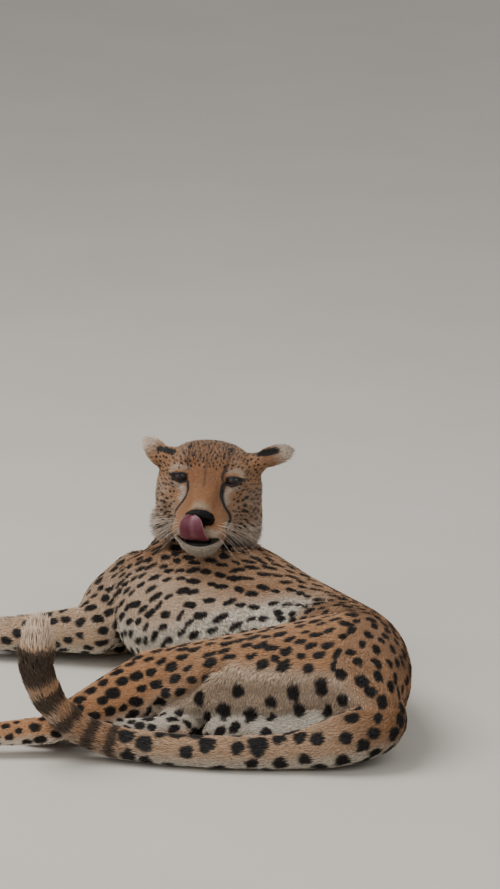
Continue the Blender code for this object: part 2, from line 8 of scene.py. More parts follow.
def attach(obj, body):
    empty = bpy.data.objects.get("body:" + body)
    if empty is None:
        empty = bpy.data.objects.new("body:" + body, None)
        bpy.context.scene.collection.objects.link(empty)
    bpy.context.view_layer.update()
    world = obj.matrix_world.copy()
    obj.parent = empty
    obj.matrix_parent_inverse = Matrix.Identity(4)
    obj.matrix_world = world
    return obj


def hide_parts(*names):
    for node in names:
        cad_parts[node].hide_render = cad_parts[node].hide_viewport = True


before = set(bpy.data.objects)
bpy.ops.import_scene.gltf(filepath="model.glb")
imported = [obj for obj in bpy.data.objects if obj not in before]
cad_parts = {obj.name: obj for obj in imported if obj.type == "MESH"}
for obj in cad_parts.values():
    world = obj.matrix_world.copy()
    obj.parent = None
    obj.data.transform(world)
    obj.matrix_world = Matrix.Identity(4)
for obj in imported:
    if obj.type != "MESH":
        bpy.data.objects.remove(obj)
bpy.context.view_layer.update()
bpy.ops.object.select_all(action="DESELECT")
dice = np.random.default_rng(7)


# small helpers

def linear(code):
    # sRGB hex to the linear colour that Blender's sockets take
    parts = [int(code[i:i + 2], 16) / 255 for i in (1, 3, 5)]
    return (*[c / 12.92 if c <= 0.04045 else ((c + 0.055) / 1.055) ** 2.4 for c in parts], 1.0)


def addNode(material, kind, settings=None, links=None):
    # links maps an input of the new node to (node, output), settings are inputs or properties
    node = material.node_tree.nodes.new(kind)
    for key, value in (settings or {}).items():
        if isinstance(key, int) or key in node.inputs:
            node.inputs[key].default_value = value
        else:
            setattr(node, key, value)
    for key, (source, output) in (links or {}).items():
        material.node_tree.links.new(source.outputs[output], node.inputs[key])
    return node


def newMaterial(name):
    material = bpy.data.materials.new(name)
    material.use_nodes = True
    return material, material.node_tree.nodes["Principled BSDF"]


def link(material, source, output, target, socket):
    material.node_tree.links.new(source.outputs[output], target.inputs[socket])


def ease(low, high, x):
    t = np.clip((x - low) / (high - low), 0, 1)
    return t * t * (3 - 2 * t)


def unit(v):
    return v / np.maximum(np.linalg.norm(v, axis=-1, keepdims=True), 1e-9)


def wander(points, size, seed):
    # smooth noise from 0 to 1 at each point, with features of that size in metres
    cell = points / size + seed * 17.13
    low = np.floor(cell).astype(np.int64)
    part = cell - low
    part = part * part * (3 - 2 * part)
    total = np.zeros(len(points))
    for corner in range(8):
        step = np.array([corner & 1, corner >> 1 & 1, corner >> 2 & 1])
        at = low + step
        mixed = (at[:, 0] * 73856093) ^ (at[:, 1] * 19349663) ^ (at[:, 2] * 83492791) ^ (seed * 2654435)
        mixed = (mixed ^ (mixed >> 13)) * 1274126177 & 0x7FFFFFFF
        mixed = (mixed ^ (mixed >> 16)) & 0xFFFF
        weight = np.prod(np.where(step, part, 1 - part), axis=1)
        total += weight * mixed / 65535
    return total


def meshObject(name, points, faces, smooth=True):
    mesh = bpy.data.meshes.new(name)
    mesh.from_pydata([tuple(p) for p in points], [], faces)
    mesh.validate()
    obj = bpy.data.objects.new(name, mesh)
    bpy.context.scene.collection.objects.link(obj)
    if smooth:
        mesh.polygons.foreach_set("use_smooth", np.ones(len(mesh.polygons), bool))
    return obj


def useOnly(obj):
    bpy.ops.object.select_all(action="DESELECT")
    obj.select_set(True)
    bpy.context.view_layer.objects.active = obj


def editAll(obj, action):
    # run one edit mode step on the whole mesh
    useOnly(obj)
    bpy.ops.object.mode_set(mode="EDIT")
    bpy.ops.mesh.select_all(action="SELECT")
    action()
    bpy.ops.object.mode_set(mode="OBJECT")


def applyModifier(obj, kind, **settings):
    useOnly(obj)
    bpy.ops.object.modifier_add(type=kind)
    modifier = obj.modifiers[-1]
    for key, value in settings.items():
        setattr(modifier, key, value)
    bpy.ops.object.modifier_apply(modifier=modifier.name)


def vertexArray(mesh):
    points = np.empty(len(mesh.vertices) * 3)
    mesh.vertices.foreach_get("co", points)
    return points.reshape(-1, 3)


def vertexNormals(mesh):
    normals = np.empty(len(mesh.vertices) * 3)
    mesh.vertices.foreach_get("normal", normals)
    return normals.reshape(-1, 3)


def edgeEnds(mesh):
    ends = np.empty(len(mesh.edges) * 2, np.int64)
    mesh.edges.foreach_get("vertices", ends)
    return ends.reshape(-1, 2)


def setVertices(mesh, points):
    mesh.vertices.foreach_set("co", points.astype(np.float32).ravel())
    mesh.update()


def setAttribute(mesh, name, values):
    layer = mesh.attributes.new(name, "FLOAT", "POINT")
    layer.data.foreach_set("value", np.asarray(values, np.float32))


def reshapeChosen(obj, chosen, action):
    # select the chosen vertices in code, then run one edit mode step on them
    useOnly(obj)
    bpy.ops.object.mode_set(mode="EDIT")
    bpy.ops.mesh.select_mode(type="VERT")
    bpy.ops.mesh.select_all(action="DESELECT")
    bpy.ops.object.mode_set(mode="OBJECT")
    mesh = obj.data
    mesh.vertices.foreach_set("select", chosen)
    mesh.edges.foreach_set("select", chosen[edgeEnds(mesh)].all(axis=1))
    for polygon in mesh.polygons:
        polygon.select = all(chosen[i] for i in polygon.vertices)
    bpy.ops.object.mode_set(mode="EDIT")
    action()
    bpy.ops.object.mode_set(mode="OBJECT")


def curveThrough(stations, spans=8):
    # a smooth line through the stations, as rows of numbers
    rows = np.array(stations, float)
    ends = np.vstack([2 * rows[0] - rows[1], rows, 2 * rows[-1] - rows[-2]])
    out = []
    for i in range(1, len(ends) - 2):
        a, b, c, d = ends[i - 1:i + 3]
        for t in np.linspace(0, 1, spans, endpoint=False):
            out.append(0.5 * (2 * b + (c - a) * t + (2 * a - 5 * b + 4 * c - d) * t * t
                              + (3 * b - a - 3 * c + d) * t ** 3))
    out.append(rows[-1])
    return np.array(out)


def tube(path, radii, sides=8, closed=False, flat=1.0, facing=None):
    # points and faces of a round bar along a path, drawn out to the radii
    path = np.array(path, float)
    count = len(path)
    if closed:
        tangents = unit(np.roll(path, -1, 0) - np.roll(path, 1, 0))
    else:
        tangents = unit(np.gradient(path, axis=0))
    hint = np.array(facing if facing is not None else (0.12, 0.25, 0.96))
    hint = np.broadcast_to(hint, path.shape)
    across = unit(np.cross(tangents, hint))
    upward = np.cross(across, tangents)
    points, faces = [], []
    for i in range(count):
        for k in range(sides):
            turn = 2 * math.pi * k / sides
            points.append(path[i] + radii[i] * (math.cos(turn) * across[i] + flat * math.sin(turn) * upward[i]))
    for i in range(count if closed else count - 1):
        j = (i + 1) % count
        for k in range(sides):
            m = (k + 1) % sides
            faces.append((i * sides + k, i * sides + m, j * sides + m, j * sides + k))
    if not closed:
        faces.append(tuple(range(sides)))
        faces.append(tuple((count - 1) * sides + k for k in reversed(range(sides))))
    return points, faces


def joined(parts):
    points, faces = [], []
    for some, more in parts:
        base = len(points)
        points += list(some)
        faces += [tuple(base + i for i in face) for face in more]
    return points, faces


def turnOutward(obj):
    editAll(obj, lambda: bpy.ops.mesh.normals_make_consistent(inside=False))


# camera, floor and soft light

placeShift = np.array((0.16367, -0.34418, 0.0))   # from the origin of the animal's own lines to the model's
studio = {
    "cameraAt": np.array((0, -7.655, 2.365)) + placeShift, "lookDown": 14.0, "lens": 239.7,
    "floor": "#C9C2B6", "sky": "#EDEFF1", "skyStrength": 0.50,
    "lights": [((-1.5, 0.2, 3.4), 2.6, 112.0), ((1.8, -2.6, 2.6), 2.4, 36.0), ((-2.4, -2.8, 1.6), 2.4, 22.0)],
}


def setStudio():
    bpy.ops.object.camera_add(location=studio["cameraAt"],
                              rotation=(math.radians(90 - studio["lookDown"]), 0, 0))
    camera = bpy.context.object
    camera.data.lens, camera.data.sensor_width, camera.data.clip_end = studio["lens"], 36, 100
    bpy.context.scene.camera = camera
    bpy.ops.mesh.primitive_plane_add(size=40)
    floor = bpy.context.object
    floor.name = "studioFloor"
    material, shader = newMaterial("paleFloorPaint")   # matt paint, slightly uneven
    shader.inputs["Roughness"].default_value = 0.85
    place = addNode(material, "ShaderNodeTexCoord")
    mottle = addNode(material, "ShaderNodeTexNoise", {"Scale": 3.0, "Detail": 3.0},
                     {"Vector": (place, "Object")})
    tone = addNode(material, "ShaderNodeMix",
                   {"data_type": "RGBA", 6: linear(studio["floor"]), 7: linear("#D2CCC1")},
                   {0: (mottle, "Fac")})
    link(material, tone, 2, shader, "Base Color")
    floor.data.materials.append(material)
    for place, size, power in studio["lights"]:
        bpy.ops.object.light_add(type="AREA", location=place)
        light = bpy.context.object
        light.data.shape, light.data.size, light.data.energy = "DISK", size, power
        light.rotation_euler = (-Vector(place) + Vector((0, 0, 0.1))).to_track_quat("-Z", "Y").to_euler()
    world = bpy.data.worlds.new("softSky")
    world.use_nodes = True
    sky = world.node_tree.nodes["Background"]
    sky.inputs["Color"].default_value = linear(studio["sky"])
    sky.inputs["Strength"].default_value = studio["skyStrength"]
    bpy.context.scene.world = world


setStudio()
print("studio set")


# the animal's own lines, in metres: each limb runs from the body out to its end

headAt = np.array((-0.062, 0.500, 0.280)) + placeShift
headPlace = (Matrix.Translation(headAt) @ Matrix.Rotation(math.radians(175), 4, "Z")
             @ Matrix.Rotation(math.radians(8), 4, "X") @ Matrix.Rotation(math.radians(-3.5), 4, "Y"))
headTurn = np.array(headPlace.to_3x3())
eye = {"at": (0.0385, -0.0140, 0.0005), "radius": 0.0160}

bodyLines = {
    "trunk": [(0.172, 0.052, 0.074), (0.158, 0.092, 0.086), (0.146, 0.175, 0.092), (0.116, 0.286, 0.083),
              (0.069, 0.373, 0.082), (0.010, 0.437, 0.087), (-0.046, 0.500, 0.090), (-0.095, 0.562, 0.088),
              (-0.140, 0.620, 0.076), (-0.152, 0.658, 0.070)],
    "neck": [(-0.095, 0.570, 0.098), (-0.076, 0.622, 0.128), (-0.046, 0.640, 0.176), (-0.050, 0.617, 0.222),
             (-0.052, 0.588, 0.248)],
    "hindLeft": [(0.138, 0.165, 0.110), (-0.130, 0.205, 0.067), (-0.275, 0.084, 0.034), (-0.425, 0.076, 0.025),
                 (-0.486, 0.072, 0.020)],
    "hindRight": [(0.130, 0.150, 0.040), (-0.060, 0.240, 0.034), (-0.114, 0.104, 0.026), (-0.240, 0.128, 0.022),
                  (-0.296, 0.140, 0.018)],
    "foreLeft": [(-0.156, 0.645, 0.088), (-0.220, 0.534, 0.050), (-0.415, 0.568, 0.030), (-0.490, 0.584, 0.024),
                 (-0.532, 0.592, 0.019)],
    "foreRight": [(-0.150, 0.655, 0.048), (-0.200, 0.588, 0.028), (-0.405, 0.624, 0.023),
                  (-0.480, 0.662, 0.022), (-0.522, 0.682, 0.018)],
    "tail": [(0.170, 0.075, 0.072), (0.174, 0.036, 0.055), (0.126, 0.016, 0.041), (0.060, 0.012, 0.027),
             (-0.030, 0.014, 0.0235), (-0.110, 0.030, 0.023), (-0.180, 0.052, 0.026), (-0.232, 0.058, 0.044),
             (-0.268, 0.050, 0.082), (-0.286, 0.044, 0.124), (-0.288, 0.042, 0.156), (-0.286, 0.042, 0.184)],
}
chains = {name: np.array(line) + placeShift for name, line in bodyLines.items()}
# shares of the tail's length; each dark band has its middle and its half width
tailRings = {"from": 0.630, "tip": 0.952,
             "bands": [(0.655, 0.012), (0.708, 0.014), (0.768, 0.016), (0.829, 0.016), (0.909, 0.040)]}
# the side of each limb that faces the body or the ground, where the coat is pale
innerSides = {"neck": (-0.5, -0.86, 0.0), "hindLeft": (0, -0.25, -0.97), "hindRight": (0, -0.1, 0.99),
              "foreLeft": (0, 0.1, -0.99), "foreRight": (0, 0.1, 0.99), "tail": (0, -0.2, -0.98)}


def chainOf(node):
    if node in ("head", "jaw", "ear_left", "ear_right"):
        return "head"
    if node == "neck":
        return "neck"
    if node in ("chest", "loins", "rump"):
        return "trunk"
    if node.startswith("tail"):
        return "tail"
    fore = node.startswith(("upper_arm", "fore"))
    return ("fore" if fore else "hind") + ("Left" if node.endswith("left") else "Right")


fleshNames = [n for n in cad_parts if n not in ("eye_left", "eye_right", "nose", "tongue")]


def toHead(points):
    return (points - headAt) @ headTurn


def fromHead(points):
    return np.asarray(points) @ headTurn.T + headAt


# the skin: one closed surface over all the flesh

weldWithin = 0.00002   # corners closer together than this are joined before a remesh
skinSize = {"grain": 0.0030}


def gathered(names):
    points, faces, owners = [], [], []
    for name in names:
        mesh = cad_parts[name].data
        base = len(points)
        points += [tuple(v.co) for v in mesh.vertices]
        for polygon in mesh.polygons:
            faces.append(tuple(base + i for i in polygon.vertices))
            owners.append(name)
    return points, faces, owners


def makeSkin():
    # the eyeballs and the nose are melted in too, so that no hole is left under them
    points, faces = gathered(fleshNames + ["eye_left", "eye_right", "nose"])[:2]
    skin = meshObject("skin", points, faces)
    editAll(skin, lambda: bpy.ops.mesh.remove_doubles(threshold=weldWithin))
    applyModifier(skin, "REMESH", mode="VOXEL", voxel_size=skinSize["grain"], use_smooth_shade=True)
    applyModifier(skin, "SMOOTH", factor=0.5, iterations=3)
    return skin


def faceArea(points):
    local = toHead(points)
    return ((local[:, 1] > -0.052) & (np.abs(local[:, 0]) < 0.085) & (local[:, 2] > -0.12)
            & (local[:, 2] < 0.07) & (local[:, 1] < 0.12))


skin = makeSkin()
reshapeChosen(skin, faceArea(vertexArray(skin.data)), lambda: bpy.ops.mesh.subdivide(number_cuts=1))
reshapeChosen(skin, faceArea(vertexArray(skin.data)),
              lambda: bpy.ops.mesh.vertices_smooth(factor=0.5, repeat=2))
print("skin melted", len(skin.data.vertices))


def nodeFinder():
    points, faces, owners = gathered(fleshNames)
    tree = BVHTree.FromPolygons(points, faces)
    return lambda rows: np.array([owners[tree.find_nearest(tuple(p))[2]] for p in rows])


def alongChain(points, name):
    # for each point: share of the chain's length, the foot on the chain, the chain's direction there
    line = curveThrough(chains[name])
    start, run = line[:-1], np.diff(line, axis=0)
    lengths = np.linalg.norm(run, axis=1)
    past = np.concatenate([[0], np.cumsum(lengths)])
    share, foot, way = np.empty(len(points)), np.empty_like(points), np.empty_like(points)
    tangents = unit(np.gradient(line, axis=0))
    for low in range(0, len(points), 20000):
        p = points[low:low + 20000]
        t = np.clip(np.einsum("nkd,kd->nk", p[:, None] - start, run) / lengths ** 2, 0, 1)
        feet = start + t[..., None] * run
        best = np.argmin(((p[:, None] - feet) ** 2).sum(-1), axis=1)
        rows = np.arange(len(p))
        bestT = t[rows, best]
        share[low:low + 20000] = (past[best] + bestT * lengths[best]) / past[-1]
        foot[low:low + 20000] = feet[rows, best]
        way[low:low + 20000] = tangents[best] * (1 - bestT)[:, None] + tangents[best + 1] * bestT[:, None]
    return share, foot, unit(way)


# the coat's lie, depth, length and colour change slowly over the body
# and are worked out once for each skin point

fieldNames = ["lieX", "lieY", "lieZ", "axisX", "axisY", "axisZ", "depth", "rise", "length", "pale", "warm",
              "tone", "spacing", "spotLong", "spotWide", "fuzzy", "chance", "gap", "width"]
column = {name: i for i, name in enumerate(fieldNames)}
faceAreas = {   # seen from the front of the head, for both sides: stations and half width of what is pale
    "overEye": ([(0.0290, 0.0125), (0.0385, 0.0150), (0.0455, 0.0138), (0.0515, 0.0090)], 0.0031, 0.60),
    "underEye": ([(0.0450, -0.0085), (0.0345, -0.0130), (0.0305, -0.0190), (0.0335, -0.0285)], 0.0046, 0.66),
}
# the pale back of the upper thigh: distance across, and height up a slope that leans back by 14 degrees
thighPatch = np.array([(-0.129, 0.0807), (-0.107, 0.0883), (-0.085, 0.1012), (-0.068, 0.1180), (-0.057, 0.1317),
                       (-0.022, 0.1470), (0.014, 0.1436), (0.068, 0.1388), (0.122, 0.1316), (0.137, 0.1105),
                       (0.150, 0.0500), (-0.130, 0.0500)])
# the upper edge of the white belly along the same slope
whiteEdge = np.array([(-0.183, 0.2039), (-0.163, 0.1905), (-0.142, 0.1885), (-0.106, 0.1993), (-0.070, 0.2126),
                      (-0.035, 0.2215), (0.000, 0.2288), (0.035, 0.2359), (0.070, 0.2400), (0.105, 0.2340),
                      (0.140, 0.2180)])
lean = math.radians(14)
thighFold = {   # the crease where the shank folds back against the thigh, with a painted shadow along it
    "line": [(-0.040, 0.119, 0.114), (-0.057, 0.125, 0.105), (-0.068, 0.122, 0.091), (-0.085, 0.127, 0.073),
             (-0.107, 0.136, 0.057), (-0.129, 0.150, 0.045)],
    "depth": 0.0120, "half": 0.0060, "swell": 0.0034, "dark": 0.80,
}


def outlineGap(flat, outline):
    # distance from a closed outline in its plane, negative inside it
    ends = np.roll(outline, -1, 0)
    run = ends - outline
    start = flat[:, None] - outline
    t = np.clip((start * run).sum(-1) / (run ** 2).sum(-1), 0, 1)
    away = np.linalg.norm(start - t[..., None] * run, axis=-1).min(1)
    crosses = (outline[:, 1] > flat[:, 1:]) != (ends[:, 1] > flat[:, 1:])
    at = outline[:, 0] + run[:, 0] * (flat[:, 1:] - outline[:, 1]) / np.where(run[:, 1] == 0, 1e-9, run[:, 1])
    inside = (crosses & (flat[:, :1] < at)).sum(1) % 2 == 1
    return np.where(inside, -away, away)


def slopeHeight(rows):
    own = rows - placeShift
    return own[:, 0], own[:, 2] * math.cos(lean) + own[:, 1] * math.sin(lean)


def besideLine(side, z, stations, width):
    # 1 on a line seen from the front, falling off over the width
    line = curveThrough(stations, 5)
    away = np.hypot(side[:, None] - line[:, 0], z[:, None] - line[:, 1]).min(1)
    return np.exp(-(away / width) ** 2)


def coatFields(points, normals, nodes):
    rows = np.zeros((len(points), len(fieldNames)))
    share = np.zeros(len(points))

    def put(where, **values):
        for key, value in values.items():
            rows[where, column[key]] = value

    put(slice(None), depth=0.0030, rise=0.0030, length=0.0092, warm=0.2, spacing=0.0240, spotLong=0.0092,
        spotWide=0.0070, fuzzy=0.16, chance=1.0, gap=0.00194, width=0.00058)
    across, height = slopeHeight(points)
    inPatch = ease(0.003, -0.004, outlineGap(np.stack([across, height], 1), thighPatch))
    inPatch *= ease(0.19, 0.16, points[:, 1] - placeShift[1]) * (normals[:, 1] < 0.45)
    whiteLow = ease(0.086, 0.074, height)
    fringe = inPatch * ease(0.110, 0.135, height)
    kinds = np.array([chainOf(n) for n in nodes])
    for name in chains:
        here = np.flatnonzero(kinds == name)
        if not len(here):
            continue
        along, foot, way = alongChain(points[here], name)
        share[here] = along
        out = unit(points[here] - foot)
        if name == "trunk":
            level = unit(np.stack([-way[:, 1], way[:, 0], np.zeros(len(here))], 1))
            inner = unit(level - np.array((0, 0, 1.0)))
            facing = (out * inner).sum(1)
            belly = ease(-0.1, 0.65, facing)
            circle = np.cross(way, out)   # from the belly up towards the back
            front, back = ease(0.62, 0.9, along), ease(0.30, 0.05, along)
            rows[here, 3:6] = -way + (0.20 + 0.75 * ease(0.35, 0.75, along) * belly)[:, None] * circle
            edge = np.interp(across[here], whiteEdge[:, 0], whiteEdge[:, 1])
            shown = (normals[here, 1] < 0.25) & (across[here] > -0.19)
            white = np.where(shown, ease(0.008, -0.020, height[here] - edge), ease(0.72, 0.95, facing))
            white *= ease(0.140, 0.070, across[here]) * ease(0.30, 0.40, along)
            lie = -way - (0.12 + 0.45 * white * ease(0.35, 0.60, along))[:, None] * circle
            slim = np.maximum(white, ease(0.32, 0.55, along))
            flank = ease(-0.2, 0.35, facing) * (1 - white)
            put(here, spacing=0.0226 - 0.0026 * front - 0.0012 * white,
                spotLong=0.0096 + 0.0014 * slim - 0.0010 * front,
                spotWide=0.0064 - 0.0011 * slim - 0.0006 * white, length=0.0092 + 0.0042 * white,
                depth=0.0030 + 0.0014 * white, rise=0.0030 + 0.0016 * white,
                chance=1 - 0.9 * ease(0.90, 1.0, facing),
                warm=0.40 + 0.24 * back + 0.14 * front - 0.24 * flank,
                tone=-0.18 - 0.35 * back + 1.00 * flank + 1.20 * white, pale=0.08 + 0.30 * flank + 0.92 * white)
        elif name == "neck":
            facing = out @ np.array(innerSides["neck"])
            lie = -way
            put(here, spacing=0.0180, spotLong=0.0062, spotWide=0.0040, length=0.0120, depth=0.0034,
                warm=0.25, pale=0.75 * ease(0.2, 0.8, facing))
        elif name == "tail":
            facing = out @ np.array(innerSides["tail"])
            lie = way
            bushy = ease(0.60, 0.98, along)
            middle = ease(0.06, 0.20, along)
            tip = ease(tailRings["tip"] - 0.012, tailRings["tip"] + 0.012, along)
            ball = ease(0.86, 0.97, along)
            ringed = ease(0.60, 0.66, along) * ease(0.955, 0.925, along)
            lie = unit(way + 0.35 * ball[:, None] * out)
            # the low tone near the tail's root is painted shade
            put(here, spacing=0.0220 + 0.0075 * middle, spotLong=0.0096 + 0.0020 * middle,
                spotWide=0.0080 + 0.0024 * middle, length=0.0105 + 0.0120 * bushy, depth=0.0027 + 0.0030 * ball,
                rise=0.0027 + 0.0075 * ball, width=0.00060 + 0.0003 * bushy,
                warm=0.70 - 0.42 * middle + 0.35 * ringed + 0.25 * tip,
                tone=-0.30 - 1.2 * (1 - middle) - 0.8 * ringed + 0.55 * tip,
                pale=np.maximum((0.75 * ease(0.15, 0.8, facing) + 0.16 * middle) * (1 - 0.55 * ringed),
                                0.48 * tip))
        else:
            facing = out @ np.array(innerSides[name])
            lie = way
            toes = ease(0.60, 0.92, along)
            pale = 0.90 * ease(0.0, 0.75, facing)
            fore = name.startswith("fore")
            put(here, spacing=(0.0215 if fore else 0.0212) - 0.0100 * toes,
                spotLong=(0.0082 if fore else 0.0094) - 0.0050 * toes,
                spotWide=(0.0062 if fore else 0.0067) - 0.0036 * toes,
                length=0.0085 - 0.0040 * toes, depth=0.0027 - 0.0014 * toes, rise=0.0027 - 0.0014 * toes,
                width=0.00056 - 0.00014 * toes, gap=0.00194 - 0.0004 * toes,
                warm=(0.10 if fore else 0.45) + 0.25 * toes, tone=0.15 if fore else 0.05)
            if fore:
                pale = np.maximum(pale, 0.25 - 0.1 * toes)
            if name == "hindLeft":
                below = ease(0.30, 0.50, along)
                put(here, tone=0.05 + 1.35 * below, warm=0.55 + 0.05 * below)
            if name == "hindRight":
                seen = ease(-0.35, 0.25, out @ np.array((0.2, -0.75, 0.63))) * ease(0.72, 0.60, along)
                shank = ease(-0.068, -0.085, across[here])
                pale = np.maximum(pale, (1.0 - 0.45 * shank) * seen)
                put(here, chance=1 - (0.93 - 0.60 * shank) * seen)
            put(here, pale=pale)
        rows[here, 0:3] = lie
    # the pale back of the upper thigh, white low down, with a longer fringe along its upper edge
    patch = inPatch * np.isin(kinds, ("hindLeft", "trunk"))
    down = np.array((-0.15, 0.0, -1.0))
    rows[:, 0:3] = unit(rows[:, 0:3]) * (1 - patch)[:, None] + down * patch[:, None]
    for key, goal in (("pale", 0.46 + 0.48 * whiteLow), ("warm", 0.20), ("spacing", 0.0350),
                      ("spotLong", 0.0112), ("spotWide", 0.0090), ("fuzzy", 0.22),
                      ("chance", 1 - 0.75 * whiteLow), ("tone", 0.40),
                      ("length", 0.0105 + 0.0070 * fringe), ("rise", 0.0034 + 0.0040 * fringe),
                      ("depth", 0.0032 + 0.0012 * fringe)):
        rows[:, column[key]] += (goal - rows[:, column[key]]) * patch
    # the head is worked out in its own frame: x to the animal's right, y forwards, z up
    here = np.flatnonzero(kinds == "head")
    local = toHead(points[here])
    x, y, z = local.T
    side = np.abs(x)
    lie = local - np.array((0, 0.078, -0.045))
    lie[:, 1] -= 0.4 * side
    onJaw = nodes[here] == "jaw"
    lie[onJaw] = (local - np.array((0, 0.085, -0.072)))[onJaw]
    muzzle = ease(0.012, 0.040, y) * ease(0.05, 0.035, side)
    cheek = ease(0.043, 0.058, side) * ease(0.004, -0.020, z)
    ruff = ease(0.040, 0.056, side) * ease(-0.046, -0.064, z) * ease(0.012, -0.02, y)
    under = ease(-0.070, -0.084, z)
    nape = ease(-0.03, -0.09, y)
    crown = ease(0.018, 0.032, z) * ease(0.052, 0.040, side)
    pads = ease(-0.0575, -0.0650, z) * ease(0.025, 0.045, y) * ease(0.036, 0.026, side)
    pale = np.maximum.reduce([0.64 * ruff, 0.62 * pads, 0.85 * under * ease(-0.1, 0.0, y), 0.22 * cheek,
                              0.08 * crown,
                              (0.35 + 0.45 * ease(-0.082, -0.090, z)) * onJaw,
                              0.25 * ease(-0.02, -0.045, z) * ease(0.030, 0.045, side)])
    for stations, width, strength in faceAreas.values():
        pale = np.maximum(pale, strength * besideLine(side, z, stations, width) * (y > -0.035))
    bridge = ease(0.045, 0.02, side) * ease(-0.060, -0.035, z)
    noseTop = bridge * ease(0.052, 0.066, y) * ease(-0.042, -0.032, z)
    chin = onJaw * ease(0.015, 0.035, y)
    pale = pale * (1 - 0.8 * noseTop) + 0.25 * noseTop
    warm = 0.64 + 0.36 * bridge - 0.06 * crown - 0.9 * noseTop
    # the 0.10 lower tone under the head is painted shade
    tone = -0.76 - 0.72 * bridge - 0.36 * crown - 0.10 * under - 0.1 * pads + 0.25 * ruff - 0.4 * noseTop
    dotted = 0.0011 * cheek + 0.0024 * nape
    rows[here, 0:3] = unit(lie) @ headTurn.T
    put(here, pale=np.clip(pale, 0, 1), warm=np.clip(warm, 0, 1), tone=tone, fuzzy=0.24,
        chance=spotted(local) * (1 - 0.55 * ruff),
        spotLong=0.0021 + dotted, spotWide=0.0014 + 0.55 * dotted,
        spacing=0.0061 + 0.0022 * cheek + 0.0060 * nape,
        length=0.0050 - 0.0020 * muzzle + 0.0045 * cheek + 0.0120 * ruff + 0.004 * under * ease(0.06, 0.02, y)
        + 0.0040 * nape + 0.0036 * chin + 0.0014 * pads + 0.0024 * crown,
        depth=0.0018 - 0.0009 * muzzle + 0.0020 * cheek + 0.0042 * ruff + 0.0012 * nape + 0.0008 * chin,
        rise=0.0018 - 0.0008 * muzzle + 0.0024 * cheek + 0.0062 * ruff + 0.0012 * nape + 0.0026 * chin
        + 0.0014 * crown,
        gap=0.00125 + 0.0006 * nape, width=0.00034 + 0.0002 * ruff + 0.0002 * nape)
    # ears: short outside, with a pale fringe along the rim and in the cup
    for name, axis in (("ear_left", (-0.88, -0.30, 0.36)), ("ear_right", (0.68, -0.34, 0.64))):
        ear = np.flatnonzero(nodes == name)
        if len(ear):
            axis = headTurn @ unit(np.array(axis))
            tipward = ease(-0.010, 0.012, (points[ear] - points[ear].mean(0)) @ axis)
            ahead = ease(-0.1, 0.5, normals[ear] @ headTurn[:, 1])
            rows[ear, 0:3] = axis
            put(ear, depth=0.0016, rise=0.0020 + 0.0034 * ahead * tipward, warm=0.85 - 0.25 * tipward,
                tone=-1.6 + 1.5 * tipward,
                gap=0.0012, width=0.00040, chance=0, length=0.0060 + 0.0055 * tipward,
                pale=0.06 + 0.58 * tipward)
    plain = np.abs(rows[:, 3:6]).sum(1) == 0
    rows[plain, 3:6] = rows[plain, 0:3]
    return rows, share, kinds


def spotted(local):
    # how likely the head is to carry a dot at each place
    x, y, z = local.T
    side = np.abs(x)
    crown = ease(0.014, 0.026, z) * ease(0.058, 0.048, side)
    cheek = ease(0.043, 0.049, side) * ease(0.006, -0.010, z) * ease(-0.080, -0.066, z)
    back = ease(-0.055, -0.075, y)
    temple = 0.45 * ease(0.048, 0.055, side) * ease(-0.02, 0.0, z)
    return np.maximum.reduce([crown, cheek, back, temple])


def spreadOver(mesh, rows, rounds):
    # averages each point's row with its neighbours' along the edges
    a, b = edgeEnds(mesh).T
    count = len(rows)
    degree = np.bincount(a, minlength=count) + np.bincount(b, minlength=count)
    for _ in range(rounds):
        total = np.empty_like(rows)
        for k in range(rows.shape[1]):
            total[:, k] = (np.bincount(a, rows[b, k], minlength=count)
                           + np.bincount(b, rows[a, k], minlength=count))
        rows = 0.4 * rows + 0.6 * total / np.maximum(degree, 1)[:, None]
    return rows


findNodes = nodeFinder()
points, normals = vertexArray(skin.data), vertexNormals(skin.data)
nodes = findNodes(points)
fields, share, kinds = coatFields(points, normals, nodes)
isHead = kinds == "head"
slow = spreadOver(skin.data, fields, 14)
fields = np.where(isHead[:, None], spreadOver(skin.data, fields, 4), slow)
fields[:, 0:6] = slow[:, 0:6]
# the forelegs' colours run on softly into the chest's
tints = [column[key] for key in ("pale", "warm", "tone")]
onFore = np.char.startswith(kinds.astype(str), "fore").astype(float)
nearFore = spreadOver(skin.data, onFore[:, None], 110)
meeting = (ease(0.02, 0.30, nearFore) * ease(0.98, 0.70, nearFore) * ~isHead[:, None])
fields[:, tints] += (spreadOver(skin.data, fields[:, tints], 110) - fields[:, tints]) * meeting
print("coat laid out")

# draw the skin in by the coat's depth
points = points - normals * fields[:, column["depth"], None]
foldLine = curveThrough(np.array(thighFold["line"]) + placeShift, 5)
leg = np.flatnonzero(kinds == "hindLeft")
away = np.linalg.norm(points[leg, None] - foldLine, axis=2).min(1)
points[leg] += normals[leg] * (thighFold["swell"] * np.exp(-((away - 0.017) / 0.008) ** 2)
                               - thighFold["depth"] * np.exp(-(away / thighFold["half"]) ** 2))[:, None]
setVertices(skin.data, points)
applyModifier(skin, "SMOOTH", factor=0.4, iterations=1)
points = vertexArray(skin.data)


# lids and sockets, shaped round each eyeball

